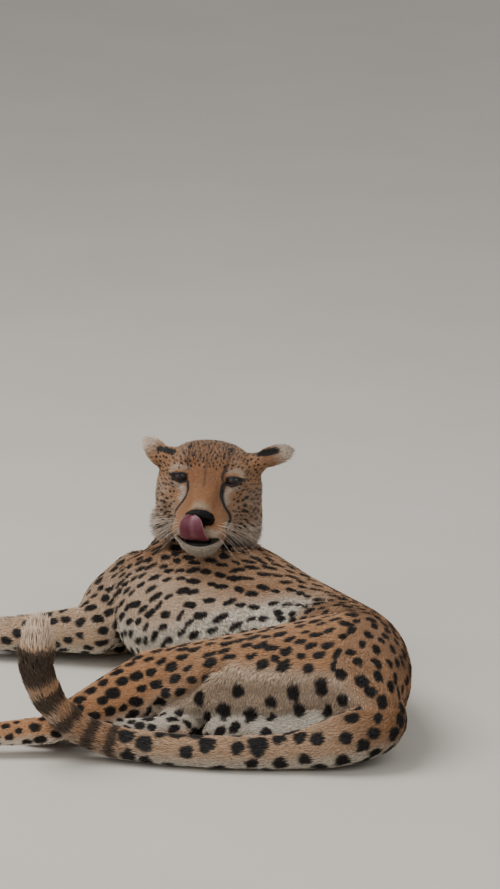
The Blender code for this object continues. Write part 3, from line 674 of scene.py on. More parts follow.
lids = {   # the gap between the lids, seen from the front: outwards and up from the eye's middle
    "upper": [(-0.0106, -0.0030), (-0.0090, 0.0034), (-0.0060, 0.0054), (-0.0020, 0.0061), (0.0045, 0.0059),
              (0.0090, 0.0047), (0.0124, 0.0030)],
    "lower": [(-0.0106, -0.0030), (-0.0087, -0.0052), (-0.0050, -0.0059), (0.0, -0.0056), (0.0055, -0.0036),
              (0.0096, -0.0005), (0.0124, 0.0030)],
    "rim": 0.0021, "stand": 0.0014, "fold": 0.0052,
}
upperLid, lowerLid = curveThrough(lids["upper"], 5), curveThrough(lids["lower"], 5)
lidLine = np.vstack([upperLid, lowerLid[-2:0:-1]])


def eyeMiddle(side):
    return np.array((side * eye["at"][0], eye["at"][1], eye["at"][2]))


def lidGap(local, side):
    # how far each place is from the lids' edge as seen from the front, negative where the eye shows
    rel = local - eyeMiddle(side)
    flat = np.stack([side * rel[:, 0], rel[:, 2]], 1)
    gap = np.full(len(flat), 0.05)
    close = np.flatnonzero((np.linalg.norm(rel, axis=1) < 0.034) & (rel[:, 1] > 0))
    gap[close] = outlineGap(flat[close], lidLine)
    return gap


def shapeLids(points):
    local = toHead(points)
    for side in (1, -1):
        centre = eyeMiddle(side)
        gaps = lidGap(local, side)
        near = np.flatnonzero(gaps < 0.03)
        rel, gap = local[near] - centre, gaps[near]
        away = np.linalg.norm(rel, axis=1)
        inner, lidTop = eye["radius"] - 0.002, eye["radius"] + lids["stand"]
        fold = 0.0009 * np.exp(-((gap - lids["fold"]) / 0.0011) ** 2) * ease(0.0, 0.004, rel[:, 2])
        wanted = np.where(gap < 0, inner + (lidTop - inner) * ease(-0.0016, 0.0002, gap), lidTop)
        blend = ease(0.0010, 0.0095, gap)
        goal = wanted * (1 - blend) + away * blend - fold
        local[near] = centre + rel * (goal / away)[:, None]
    return fromHead(local)


points = shapeLids(points)
noseTree = BVHTree.FromPolygons(*gathered(["nose"])[:2])


def noseDistance(rows):
    # how far each place is from the nose's solid, or 1 where it is well away from it
    local = toHead(rows)
    out = np.ones(len(rows))
    for i in np.flatnonzero((local[:, 1] > 0.04) & (np.abs(local[:, 0]) < 0.035) & (local[:, 2] < -0.02)):
        found = noseTree.find_nearest(tuple(rows[i]), 0.006)
        if found[0] is not None:
            out[i] = found[3]
    return out


points = points - normals * (0.0050 * ease(0.0032, 0.0014, noseDistance(points)))[:, None]
setVertices(skin.data, points)
editAll(skin, lambda: bpy.ops.mesh.quads_convert_to_tris())
points, normals = vertexArray(skin.data), vertexNormals(skin.data)
print("lids shaped", len(skin.data.polygons))


# markings, the same for the skin and the coat

faceLines = {   # stations in the head's frame for x positive, width in metres, strength
    "brow": ([(0.0275, -0.0300, 0.0400), (0.0290, -0.0180, 0.0320), (0.0282, -0.0060, 0.0235),
              (0.0268, 0.0010, 0.0150)], 0.0036, 0.45),
    "browSpot": ([(0.0285, -0.0360, 0.0420), (0.0300, -0.0310, 0.0385)], 0.0052, 0.95),
    "innerSpot": ([(0.0215, -0.0180, 0.0350), (0.0225, -0.0130, 0.0320)], 0.0044, 0.85),
    "outerCorner": ([(0.0490, -0.0010, 0.0035), (0.0555, -0.0080, 0.0050), (0.0610, -0.0180, 0.0030)],
                    0.0026, 0.8),
    "cheekLine": ([(0.0600, -0.0150, -0.0120), (0.0640, -0.0220, -0.0260), (0.0620, -0.0200, -0.0400)],
                  0.0026, 0.6),
}
tearLine = {   # from the inner corner of the eye down beside the muzzle to the corner of the mouth
    "stations": [(0.0272, 0.0060, -0.0030), (0.0256, 0.0085, -0.0070), (0.0248, 0.0118, -0.0108),
                 (0.0250, 0.0158, -0.0167), (0.0262, 0.0198, -0.0225), (0.0295, 0.0222, -0.0287),
                 (0.0326, 0.0226, -0.0344), (0.0362, 0.0190, -0.0404), (0.0392, 0.0150, -0.0459),
                 (0.0406, 0.0131, -0.0529), (0.0400, 0.0250, -0.0585), (0.0385, 0.0420, -0.0615),
                 (0.0360, 0.0560, -0.0640)],
    "width": {1: 0.0046, -1: 0.0074}, "drift": 0.0026,
}
middleLine = ([(0.0020, -0.0150, 0.0335), (0.0020, -0.0040, 0.0230), (0.0020, 0.0050, 0.0120),
               (0.0015, 0.0160, 0.0020), (0.0010, 0.0330, -0.0065)], 0.0034, 0.42)
browLine = ([(-0.0262, 0.0055, 0.0020), (-0.0245, 0.0040, 0.0110), (-0.0258, -0.0040, 0.0225)], 0.0046, 0.80)
earPatches = [([(0.0545, -0.0368, 0.0326), (0.0737, -0.0470, 0.0344)], 0.0125, 1.0),
              ([(-0.0680, -0.0480, 0.0388), (-0.0908, -0.0484, 0.0451)], 0.0135, 1.0)]
mouth = {"at": (0, 0.060, -0.0810), "size": (0.0285, 0.034, 0.0065), "rise": 7.0}


def lipReach(local):
    # 1 on the lips' edge, less inside the mouth, whose corners curve up
    rel = local - np.array(mouth["at"])
    rel[:, 2] -= mouth["rise"] * rel[:, 0] ** 2
    return np.linalg.norm(rel / np.array(mouth["size"]), axis=1)


def surfaceTree(obj):
    mesh = obj.data
    return BVHTree.FromPolygons([tuple(v.co) for v in mesh.vertices],
                                [tuple(p.vertices) for p in mesh.polygons])


skinTree = surfaceTree(skin)


def onSkin(localStations):
    rows = curveThrough(fromHead(localStations), 6)
    return np.array([skinTree.find_nearest(tuple(p))[0] for p in rows])


def nearLine(rows, line, width, strength, seed):
    # darkness from a stroke along a line, thinner at its ends
    start, run = line[:-1], np.diff(line, axis=0)
    t = np.clip(np.einsum("nkd,kd->nk", rows[:, None] - start, run)
                / np.maximum((run ** 2).sum(1), 1e-12), 0, 1)
    away = np.linalg.norm(rows[:, None] - start - t[..., None] * run, axis=2)
    best = np.argmin(away, axis=1)
    at = (best + t[np.arange(len(rows)), best]) / len(run)
    half = width / 2 * (0.75 + 0.25 * np.sin(np.pi * np.clip(at, 0.04, 0.96)) ** 0.5)
    ragged = (wander(rows, 0.003, seed) - 0.5) * 0.0012
    return strength * ease(half + 0.0009, half - 0.0007, away.min(1) + ragged)


strokes = []
for stations, width, strength in faceLines.values():
    for side in (1, -1):
        strokes.append((onSkin([(side * x, y, z) for x, y, z in stations]), width, strength))
for stations, width, strength in [middleLine, browLine] + earPatches:
    strokes.append((onSkin(stations), width, strength))
for side, width in tearLine["width"].items():
    strokes.append((onSkin([(side * x + tearLine["drift"] * ease(-0.03, -0.05, z), y, z)
                            for x, y, z in tearLine["stations"]]), width, 1.0))


def triangleRows(mesh):
    rows = np.empty(len(mesh.polygons) * 3, np.int64)
    mesh.polygons.foreach_get("vertices", rows)
    return rows.reshape(-1, 3)


triangles = triangleRows(skin.data)
corners = points[triangles]
areas = np.linalg.norm(np.cross(corners[:, 1] - corners[:, 0], corners[:, 2] - corners[:, 0]), axis=1) / 2


def scatter(perArea, chosen=None):
    # random places on the skin, so many for each square metre of each triangle
    wanted = areas * perArea
    if chosen is not None:
        wanted = np.where(chosen, wanted, 0)
    number = np.floor(wanted + dice.random(len(wanted))).astype(int)
    which = np.repeat(np.arange(len(wanted)), number)
    r, s = np.sqrt(dice.random(len(which))), dice.random(len(which))
    share3 = np.stack([1 - r, r * (1 - s), r * s], 1)
    return which, share3


def between(values, which, share3):
    picked = values[triangles[which]]
    return np.einsum("nk,nkd->nd", share3, picked) if values.ndim == 2 else (share3 * picked).sum(1)


def laySpots():
    spacing = fields[:, column["spacing"]][triangles].mean(1)
    which, share3 = scatter(14 / spacing ** 2)
    order = dice.permutation(len(which))
    which, share3 = which[order], share3[order]
    at = between(points, which, share3)
    up = unit(between(normals, which, share3))
    own = between(fields, which, share3)
    kind = kinds[triangles[which, 0]]
    along = share[triangles[which, 0]]
    chance = own[:, column["chance"]]
    chance[(kind == "tail") & (along > tailRings["from"])] = 0
    draw = dice.random(len(at))
    taken, cells, size = [], {}, 0.03
    for i in range(len(at)):
        if draw[i] > chance[i]:
            continue
        cell = tuple((at[i] // size).astype(int))
        clear = True
        reach = own[i, column["spacing"]] * 0.82
        for dx in (-1, 0, 1):
            for dy in (-1, 0, 1):
                for dz in (-1, 0, 1):
                    for j in cells.get((cell[0] + dx, cell[1] + dy, cell[2] + dz), ()):
                        if np.dot(up[i], up[j]) > 0 and ((at[i] - at[j]) ** 2).sum() < reach * reach:
                            clear = False
        if clear:
            taken.append(i)
            cells.setdefault(cell, []).append(i)
    taken = np.array(taken)
    at, up, own = at[taken], up[taken], own[taken]
    lie = unit(own[:, 3:6] - up * (own[:, 3:6] * up).sum(1)[:, None])
    side = np.cross(up, lie)
    angle = dice.normal(0, 0.25, len(at))
    axis = lie * np.cos(angle)[:, None] + side * np.sin(angle)[:, None]
    grow = dice.uniform(0.78, 1.18, len(at))
    return {"at": at, "up": up, "axis": axis, "side": np.cross(up, axis),
            "long": own[:, column["spotLong"]] * grow,
            "wide": own[:, column["spotWide"]] * grow * dice.uniform(0.88, 1.12, len(at)),
            "bend": dice.uniform(-0.25, 0.25, len(at))}


spots = laySpots()
spotTree = KDTree(len(spots["at"]))
for i, p in enumerate(spots["at"]):
    spotTree.insert(p, i)
spotTree.balance()
print("spots laid", len(spots["at"]))


def darkness(rows, up, own, kind, along):
    # how black each place is, from 0 to 1
    near = np.full((len(rows), 4), -1)
    for i, p in enumerate(rows):
        for k, found in enumerate(spotTree.find_n(p, 4)):
            near[i, k] = found[1]
    ragged = (wander(rows, 0.0045, 3) - 0.5) * 0.42 + (wander(rows, 0.0017, 5) - 0.5) * 0.16
    best = np.full(len(rows), 9.0)
    for k in range(4):
        j = near[:, k]
        d = rows - spots["at"][j]
        u = (d * spots["axis"][j]).sum(1) / spots["long"][j]
        v = (d * spots["side"][j]).sum(1) / spots["wide"][j] + spots["bend"][j] * u * u
        w = (d * spots["up"][j]).sum(1)
        q = (np.abs(u) ** 2.3 + np.abs(v) ** 2.3) ** (1 / 2.3)
        apart = (np.abs(w) > 0.012) | ((up * spots["up"][j]).sum(1) < 0.05)
        best = np.minimum(best, np.where(apart, 9.0, q))
    fuzzy = own[:, column["fuzzy"]]
    dark = ease(1 + fuzzy, 1 - fuzzy, best + ragged)
    tail = np.flatnonzero(kind == "tail")
    if len(tail):
        t = along[tail] + (wander(rows[tail], 0.012, 8) - 0.5) * 0.012
        for middle, half in tailRings["bands"]:
            band = ease(half + 0.004, half - 0.003, np.abs(t - middle))
            gapBelow = 0.30 * ease(0.2, 0.9, own[tail, column["pale"]]) * (middle < 0.85)
            dark[tail] = np.maximum(dark[tail], 0.85 * band * (1 - gapBelow))
    leg = np.flatnonzero(kind == "hindLeft")
    if len(leg):
        # painted shadow: a dark stroke along the thigh's crease
        creaseShadow = nearLine(rows[leg], foldLine, 0.0085, thighFold["dark"], 12)
        dark[leg] = np.maximum(dark[leg], creaseShadow)
    head = np.flatnonzero(kind == "head")
    if len(head):
        local = toHead(rows[head])
        for line, width, strength in strokes:
            close = np.flatnonzero(np.linalg.norm(rows[head] - line.mean(0), axis=1) < 0.06)
            if len(close):
                dark[head[close]] = np.maximum(dark[head[close]],
                                               nearLine(rows[head[close]], line, width, strength, 11))
        for side in (1, -1):
            dark[head] = np.maximum(dark[head], ease(lids["rim"] + 0.0007, lids["rim"] - 0.0007,
                                                     lidGap(local, side)))
        # black lips, and the inside of the mouth painted black as painted shade
        dark[head] = np.maximum(dark[head], ease(1.16, 1.02, lipReach(local)))
    return dark


def bareFace(rows, kind):
    # true where nothing grows: the eyes, the nose, the lips and inside the mouth
    bare = np.zeros(len(rows), bool)
    head = np.flatnonzero(kind == "head")
    local = toHead(rows[head])
    for side in (1, -1):
        bare[head] |= lidGap(local, side) < 0.0012
    bare[head] |= lipReach(local) < 1.06
    bare |= noseDistance(rows) < 0.0020
    return bare


skinDark = darkness(points, normals, fields, kinds, share)
print("markings drawn")


# materials of the coat

coatColours = {
    "tawny": "#D4AD85", "orange": "#BB7A42", "cream": "#E6DDCD", "black": "#16100C",
    # root: the colour multiplied in towards the hairs' roots as painted shade
    "root": "#8A735A", "patch": "#A98766",
}


def coatMaterial(name, isSkin):
    # short cheetah fur: dry and matt, each hair darker towards its root as painted shade, the black hairs
    # faintly brown
    material, shader = newMaterial(name)
    place = addNode(material, "ShaderNodeTexCoord")
    read = {key: addNode(material, "ShaderNodeAttribute", {"attribute_name": key})
            for key in ("dark", "pale", "warm", "tip", "shade")}
    mottle = addNode(material, "ShaderNodeTexNoise", {"Scale": 70.0, "Detail": 4.0, "Roughness": 0.6},
                     {"Vector": (place, "Object")})
    hue = addNode(material, "ShaderNodeMix", {"data_type": "RGBA", 6: linear(coatColours["tawny"]),
                                              7: linear(coatColours["orange"])}, {0: (read["warm"], "Fac")})
    worn = addNode(material, "ShaderNodeMapRange",
                   {"From Min": 0.35, "From Max": 0.75, "To Min": 0.0, "To Max": 0.45},
                   {"Value": (mottle, "Fac")})
    mixed = addNode(material, "ShaderNodeMix", {"data_type": "RGBA", 7: linear(coatColours["patch"])},
                    {0: (worn, "Result"), 6: (hue, 2)})
    light = addNode(material, "ShaderNodeMix", {"data_type": "RGBA", 7: linear(coatColours["cream"])},
                    {0: (read["pale"], "Fac"), 6: (mixed, 2)})
    # painted shade: the low end of tip is multiplied with the root colour
    depth = addNode(material, "ShaderNodeMapRange",
                    {"From Min": 0.0, "From Max": 0.7, "To Min": 0.35, "To Max": 0.0},
                    {"Value": (read["tip"], "Fac")})
    rootShaded = addNode(material, "ShaderNodeMix", {"data_type": "RGBA", "blend_type": "MULTIPLY",
                                                 7: linear(coatColours["root"])},
                     {0: (depth, "Result"), 6: (light, 2)})
    inked = addNode(material, "ShaderNodeMix", {"data_type": "RGBA", 7: linear(coatColours["black"])},
                    {0: (read["dark"], "Fac"), 6: (rootShaded, 2)})
    tone = addNode(material, "ShaderNodeMapRange",
                   {"From Min": -1.6, "From Max": 1.6, "To Min": 0.64, "To Max": 1.32},
                   {"Value": (read["shade"], "Fac")})
    final = addNode(material, "ShaderNodeHueSaturation", None,
                    {"Value": (tone, "Result"), "Color": (inked, 2)})
    link(material, final, "Color", shader, "Base Color")
    shader.inputs["Roughness"].default_value = 0.72
    shader.inputs["Specular IOR Level"].default_value = 0.28
    shader.inputs["Sheen Weight"].default_value = 0.12
    shader.inputs["Sheen Roughness"].default_value = 0.5
    if isSkin:
        # the shortest fur, as relief: hairs about 0.8 mm apart
        hairs = addNode(material, "ShaderNodeTexNoise", {"Scale": 900.0, "Detail": 2.0},
                        {"Vector": (place, "Object")})
        bump = addNode(material, "ShaderNodeBump", {"Strength": 0.35, "Distance": 0.0008},
                       {"Height": (hairs, "Fac")})
        link(material, bump, "Normal", shader, "Normal")
    return material


skinMaterial = coatMaterial("shortFurOverSkin", True)
tuftMaterial = coatMaterial("coatHairs", False)
skin.data.materials.clear()
skin.data.materials.append(skinMaterial)
setAttribute(skin.data, "dark", skinDark)
setAttribute(skin.data, "pale", fields[:, column["pale"]])
setAttribute(skin.data, "warm", fields[:, column["warm"]])
# painted shade: the skin between the tufts is shaded like the hairs' roots and 0.40 darker in tone
setAttribute(skin.data, "tip", np.full(len(points), 0.35))
setAttribute(skin.data, "shade", fields[:, column["tone"]] - 0.40)
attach(skin, "root")
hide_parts(*fleshNames)


# the coat: thin overlapping tufts that follow the lie of the fur

editAll(skin, lambda: bpy.ops.uv.smart_project(angle_limit=math.radians(66), island_margin=0.002))
skin.data.uv_layers[0].name = "OFBake"
unwrap = np.empty(len(skin.data.loops) * 2)
skin.data.uv_layers[0].data.foreach_get("uv", unwrap)
unwrap = unwrap.reshape(-1, 3, 2)
print("skin unwrapped")

coatPieces = {
    "coatHeadRight": ("head", "jaw"), "coatHeadLeft": ("head", "jaw"), "coatEars": ("ear_left", "ear_right"),
    "coatNeck": ("neck",), "coatChestBack": ("chest",), "coatChestFront": ("chest",),
    "coatLoins": ("loins",), "coatRump": ("rump",),
    "coatThighLeft": ("thigh_left",), "coatShankLeft": ("shank_left", "hindfoot_left", "hindpaw_left"),
    "coatHindRight": ("thigh_right", "shank_right", "hindfoot_right", "hindpaw_right"),
    "coatForeLeft": ("upper_arm_left", "forearm_left", "forefoot_left", "forepaw_left"),
    "coatForeRight": ("upper_arm_right", "forearm_right", "forefoot_right", "forepaw_right"),
    "coatTail": ("tail_1", "tail_2", "tail_3", "tail_4", "tail_5"),
}
# pieces that share their nodes: the axis that parts them, and the side of the middle that each one takes
coatHalves = {"coatHeadRight": (0, -1), "coatHeadLeft": (0, 1),
              "coatChestBack": (1, -1), "coatChestFront": (1, 1)}
tuft = {   # patch on the unwrap, swing of the lie, depth of the root, where it is widest, drafts' share
    "patch": 0.003, "sway": 0.15, "sink": 0.0006, "belly": 0.42, "quickShare": 0.45,
}
tuftPatch = np.array([(-0.5, 0), (0, 0.45), (0, -0.45), (0.1, 0), (0.5, 0)]) * tuft["patch"]
tuftFaces = np.array([(0, 2, 3), (0, 3, 1), (4, 3, 2), (4, 1, 3), (0, 1, 2), (4, 2, 1)])


def growCoat(name, owners):
    # each tuft is a closed spindle: root, left, right, ridge and tip
    chosen = np.isin(nodes[triangles[:, 0]], owners)
    if name in coatHalves:
        axis, side = coatHalves[name]
        place = corners[:, 0, axis]
        chosen &= (place > np.median(place[chosen])) == (side > 0)
    gap = fields[:, column["gap"]][triangles].mean(1)
    thin = 1.0
    which, share3 = scatter(thin / gap ** 2, chosen)
    at = between(points, which, share3)
    up = unit(between(normals, which, share3))
    kind = kinds[triangles[which, 0]]
    pressed = (at[:, 2] < 0.006) & (up[:, 2] < -0.75)   # nothing stands where the body lies on the floor
    keep = ~(bareFace(at, kind) | pressed)
    which, share3, at, kind, up = which[keep], share3[keep], at[keep], kind[keep], up[keep]
    own = between(fields, which, share3)
    along = between(share, which, share3)
    spot = np.einsum("nk,nkd->nd", share3, unwrap[which])
    count = len(at)
    length = own[:, column["length"]] * dice.uniform(0.72, 1.20, count)
    lie = unit(own[:, 0:3] - up * (own[:, 0:3] * up).sum(1)[:, None])
    across = np.cross(up, lie)
    turn = dice.normal(0, tuft["sway"], count) + (wander(at, 0.014, 21) - 0.5) * 0.55
    flat = lie * np.cos(turn)[:, None] + across * np.sin(turn)[:, None]
    across = np.cross(up, flat)
    rise = np.clip(own[:, column["rise"]] * dice.uniform(0.62, 1.06, count) + tuft["sink"], 0, 0.62 * length)
    run = np.sqrt(np.maximum(length ** 2 - rise ** 2, 1e-9))
    half = own[:, column["width"]] * dice.uniform(0.75, 1.2, count)
    base = at - up * tuft["sink"]
    middle = base + flat * (run * tuft["belly"])[:, None] + up * (rise * 0.66)[:, None]
    side = across * half[:, None]
    rows = np.stack([base, middle + side, middle - side, middle + up * (half * 0.8)[:, None],
                     base + flat * run[:, None] + up * rise[:, None]], 1)
    rows[:, :, 2] = np.maximum(rows[:, :, 2], 0.0003)
    faces = (np.arange(count)[:, None, None] * 5 + tuftFaces).reshape(-1, 3)
    mesh = bpy.data.meshes.new(name)
    mesh.vertices.add(count * 5)
    mesh.vertices.foreach_set("co", rows.astype(np.float32).ravel())
    mesh.loops.add(len(faces) * 3)
    mesh.loops.foreach_set("vertex_index", faces.astype(np.int32).ravel())
    mesh.polygons.add(len(faces))
    mesh.polygons.foreach_set("loop_start", np.arange(len(faces), dtype=np.int32) * 3)
    mesh.polygons.foreach_set("use_smooth", np.ones(len(faces), bool))
    mesh.update(calc_edges=True)
    obj = bpy.data.objects.new(name, mesh)
    bpy.context.scene.collection.objects.link(obj)
    # each tuft's patch lies where its root is on the skin's unwrap
    flatMap = (spot[:, None] + tuftPatch).reshape(-1, 2)
    layer = mesh.uv_layers.new(name="OFBake")
    layer.data.foreach_set("uv", flatMap[faces.ravel()].astype(np.float32).ravel())
    darkMiddle = darkness(at + flat * (run * 0.45)[:, None], up, own, kind, along)
    darkTip = darkness(at + flat * (run * 0.85)[:, None], up, own, kind, along)
    dark = np.repeat(darkMiddle, 5)
    dark[4::5] = 0.35 * darkMiddle + 0.65 * darkTip
    setAttribute(mesh, "dark", dark)
    setAttribute(mesh, "pale",
                 np.repeat(np.clip(own[:, column["pale"]] + dice.normal(0, 0.06, count), 0, 1), 5))
    setAttribute(mesh, "warm",
                 np.repeat(np.clip(own[:, column["warm"]] + dice.normal(0, 0.08, count), 0, 1), 5))
    # tip runs from the root to the tip of each tuft; the material paints shade at its low end
    setAttribute(mesh, "tip", np.tile([0.1, 0.6, 0.6, 0.65, 1.0], count))
    setAttribute(mesh, "shade",
                 np.repeat(own[:, column["tone"]] + np.clip(dice.normal(0, 0.45, count), -1, 1), 5))
    mesh.materials.append(tuftMaterial)
    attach(obj, "root")
    print(name, len(faces), "triangles")
    return obj


for name, owners in coatPieces.items():
    growCoat(name, owners)


# eyes

eyeColours = {"pupil": "#0E0706", "iris": "#34190F", "irisEdge": "#1C0E0A", "white": "#43302A"}


def makeEye(side, name):
    centre = eyeMiddle(side)
    bpy.ops.mesh.primitive_uv_sphere_add(segments=64, ring_count=40, radius=eye["radius"])
    ball = bpy.context.object
    ball.name = name
    mesh = ball.data
    toCamera = toHead(np.array(studio["cameraAt"])[None])[0] - centre
    gaze = unit(toCamera + np.array((0, 0, -0.35)))
    rows = vertexArray(mesh)
    # the pole of the sphere turns to the gaze, and the cornea swells a little
    turn = np.array(Vector((0, 0, 1)).rotation_difference(Vector(gaze)).to_matrix())
    angle = np.arccos(np.clip(rows[:, 2] / eye["radius"], -1, 1))
    swell = 1 + 0.035 * ease(0.72, 0.0, angle)
    rows = fromHead((rows * swell[:, None]) @ turn.T + centre)
    setVertices(mesh, rows)
    setAttribute(mesh, "fromPupil", angle)
    bpy.ops.object.shade_smooth()
    material, shader = newMaterial(name + "Glass")   # polished glass eye: dark brown iris, round pupil
    read = addNode(material, "ShaderNodeAttribute", {"attribute_name": "fromPupil"})
    place = addNode(material, "ShaderNodeTexCoord")
    fibres = addNode(material, "ShaderNodeTexNoise", {"Scale": 900.0, "Detail": 2.0},
                     {"Vector": (place, "Object")})
    ramp = addNode(material, "ShaderNodeValToRGB", None, {"Fac": (read, "Fac")})
    stops = ramp.color_ramp.elements
    stops[0].position, stops[0].color = 0.26, linear(eyeColours["pupil"])
    stops[1].position, stops[1].color = 0.30, linear(eyeColours["iris"])
    for position, colour in ((0.50, "iris"), (0.62, "irisEdge"), (0.66, "pupil"), (0.72, "white")):
        stop = stops.new(position)
        stop.color = linear(eyeColours[colour])
    speck = addNode(material, "ShaderNodeMix", {"data_type": "RGBA", "blend_type": "MULTIPLY",
                                                7: linear("#B09080")}, {0: (fibres, "Fac"), 6: (ramp, "Color")})
    link(material, speck, 2, shader, "Base Color")
    shader.inputs["Roughness"].default_value = 0.36
    shader.inputs["Coat Weight"].default_value = 0.06
    shader.inputs["Coat Roughness"].default_value = 0.12
    mesh.materials.append(material)
    return ball


def makeLidRims():
    parts = []
    reach = eye["radius"] + 0.0009
    for side in (1, -1):
        u, w = lidLine.T
        front = np.sqrt(np.maximum(reach ** 2 - u ** 2 - w ** 2, 1e-8))
        path = fromHead(eyeMiddle(side) + np.stack([side * u, front, w], 1))
        centre = fromHead(eyeMiddle(side)[None])[0]
        parts.append(tube(path, [0.00105] * len(path), sides=8, closed=True, flat=0.8,
                          facing=unit(path - centre)))
    obj = meshObject("lidRims", *joined(parts))
    turnOutward(obj)
    material, shader = newMaterial("moistLidSkin")   # hairless black lid edge, a little wet
    place = addNode(material, "ShaderNodeTexCoord")
    grain = addNode(material, "ShaderNodeTexNoise", {"Scale": 1500.0, "Detail": 2.0},
                    {"Vector": (place, "Object")})
    tone = addNode(material, "ShaderNodeMix",
                   {"data_type": "RGBA", 6: linear("#0D0A09"), 7: linear("#1D1613")},
                   {0: (grain, "Fac")})
    bump = addNode(material, "ShaderNodeBump", {"Strength": 0.3, "Distance": 0.0003},
                   {"Height": (grain, "Fac")})
    link(material, tone, 2, shader, "Base Color")
    link(material, bump, "Normal", shader, "Normal")
    shader.inputs["Roughness"].default_value = 0.38
    obj.data.materials.append(material)
    return obj


for side, name in ((-1, "eye_left"), (1, "eye_right")):
    ball = makeEye(side, name + "Ball")
    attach(ball, "root")
    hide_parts(name)
rims = makeLidRims()
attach(rims, "root")
print("eyes set")


# nose leather

noseShape = {"grain": 0.0007, "nostril": (0.0122, 0.0765, -0.0500), "size": (0.0048, 0.0055, 0.0032)}


def makeNose():
    points, faces = gathered(["nose"])[:2]
    nose = meshObject("noseLeather", points, faces)
    editAll(nose, lambda: bpy.ops.mesh.remove_doubles(threshold=weldWithin))
    applyModifier(nose, "REMESH", mode="VOXEL", voxel_size=noseShape["grain"], use_smooth_shade=True)
    applyModifier(nose, "SMOOTH", factor=0.6, iterations=10)
    rows, ups = vertexArray(nose.data), vertexNormals(nose.data)
    local = toHead(rows)
    dip = np.zeros(len(rows))
    for side in (1, -1):
        hole = np.array((side * noseShape["nostril"][0], *noseShape["nostril"][1:]))
        rel = local - hole
        # a comma: round in front, with a slit that runs out to the side
        pit = np.linalg.norm(rel / np.array(noseShape["size"]), axis=1)
        slitX = side * rel[:, 0]
        slit = np.hypot((rel[:, 2] - 0.10 * slitX - 0.0012) / 0.0013,
                        np.maximum(np.abs(slitX - 0.004) - 0.0045, 0) / 0.001)
        dip = np.maximum(dip, 0.0040 * ease(1.0, 0.35, pit))
        dip = np.maximum(dip, 0.0018 * ease(1.0, 0.3, slit) * (local[:, 1] > 0.066))
    middle = 0.0011 * ease(0.0012, 0.0, np.abs(local[:, 0])) * ease(-0.046, -0.052, local[:, 2])
    dip = np.maximum(dip, middle)
    setVertices(nose.data, rows - ups * dip[:, None])
    applyModifier(nose, "SMOOTH", factor=0.4, iterations=1)
    # painted shade: the nostrils and the middle groove are darkened towards black by their depth
    setAttribute(nose.data, "hollow", np.clip(dip / 0.0030, 0, 1))
    material, shader = newMaterial("noseLeather")   # black pebbled skin, damp; pebbles about 0.7 mm; painted shade in the nostrils
    place = addNode(material, "ShaderNodeTexCoord")
    pebble = addNode(material, "ShaderNodeTexVoronoi", {"Scale": 1300.0}, {"Vector": (place, "Object")})
    read = addNode(material, "ShaderNodeAttribute", {"attribute_name": "hollow"})
    dust = addNode(material, "ShaderNodeTexNoise", {"Scale": 160.0, "Detail": 3.0},
                   {"Vector": (place, "Object")})
    dusty = addNode(material, "ShaderNodeMapRange",
                    {"From Min": 0.45, "From Max": 0.75, "To Min": 0.0, "To Max": 0.5},
                    {"Value": (dust, "Fac")})
    tone = addNode(material, "ShaderNodeMix",
                   {"data_type": "RGBA", 6: linear("#090706"), 7: linear("#17120F")},
                   {0: (dusty, "Result")})
    shadedHollows = addNode(material, "ShaderNodeMix", {"data_type": "RGBA", 7: linear("#050404")},
                   {0: (read, "Fac"), 6: (tone, 2)})
    bump = addNode(material, "ShaderNodeBump", {"Strength": 0.5, "Distance": 0.0004},
                   {"Height": (pebble, "Distance")})
    link(material, shadedHollows, 2, shader, "Base Color")
    link(material, bump, "Normal", shader, "Normal")
    shader.inputs["Roughness"].default_value = 0.55
    shader.inputs["Specular IOR Level"].default_value = 0.14
    nose.data.materials.clear()
    nose.data.materials.append(material)
    return nose


nose = makeNose()
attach(nose, "root")
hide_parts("nose")


# the tongue, curled up over the nose

tongueShape = {   # centre in the head's frame, half width, half thickness
    "stations": [(0.001, 0.030, -0.0775, 0.0165, 0.0034), (0.002, 0.052, -0.0772, 0.0185, 0.0034),
                 (0.0035, 0.067, -0.0762, 0.0200, 0.0036), (0.0055, 0.0782, -0.0722, 0.0196, 0.0036),
                 (0.0075, 0.0845, -0.0650, 0.0182, 0.0036), (0.0090, 0.0860, -0.0570, 0.0172, 0.0034),
                 (0.0098, 0.0840, -0.0500, 0.0146, 0.0032), (0.0102, 0.0805, -0.0452, 0.0095, 0.0026),
                 (0.0103, 0.0785, -0.0430, 0.0030, 0.0014)],
    "spans": 6, "round": 28, "groove": 0.0016, "cup": 0.0030,
}


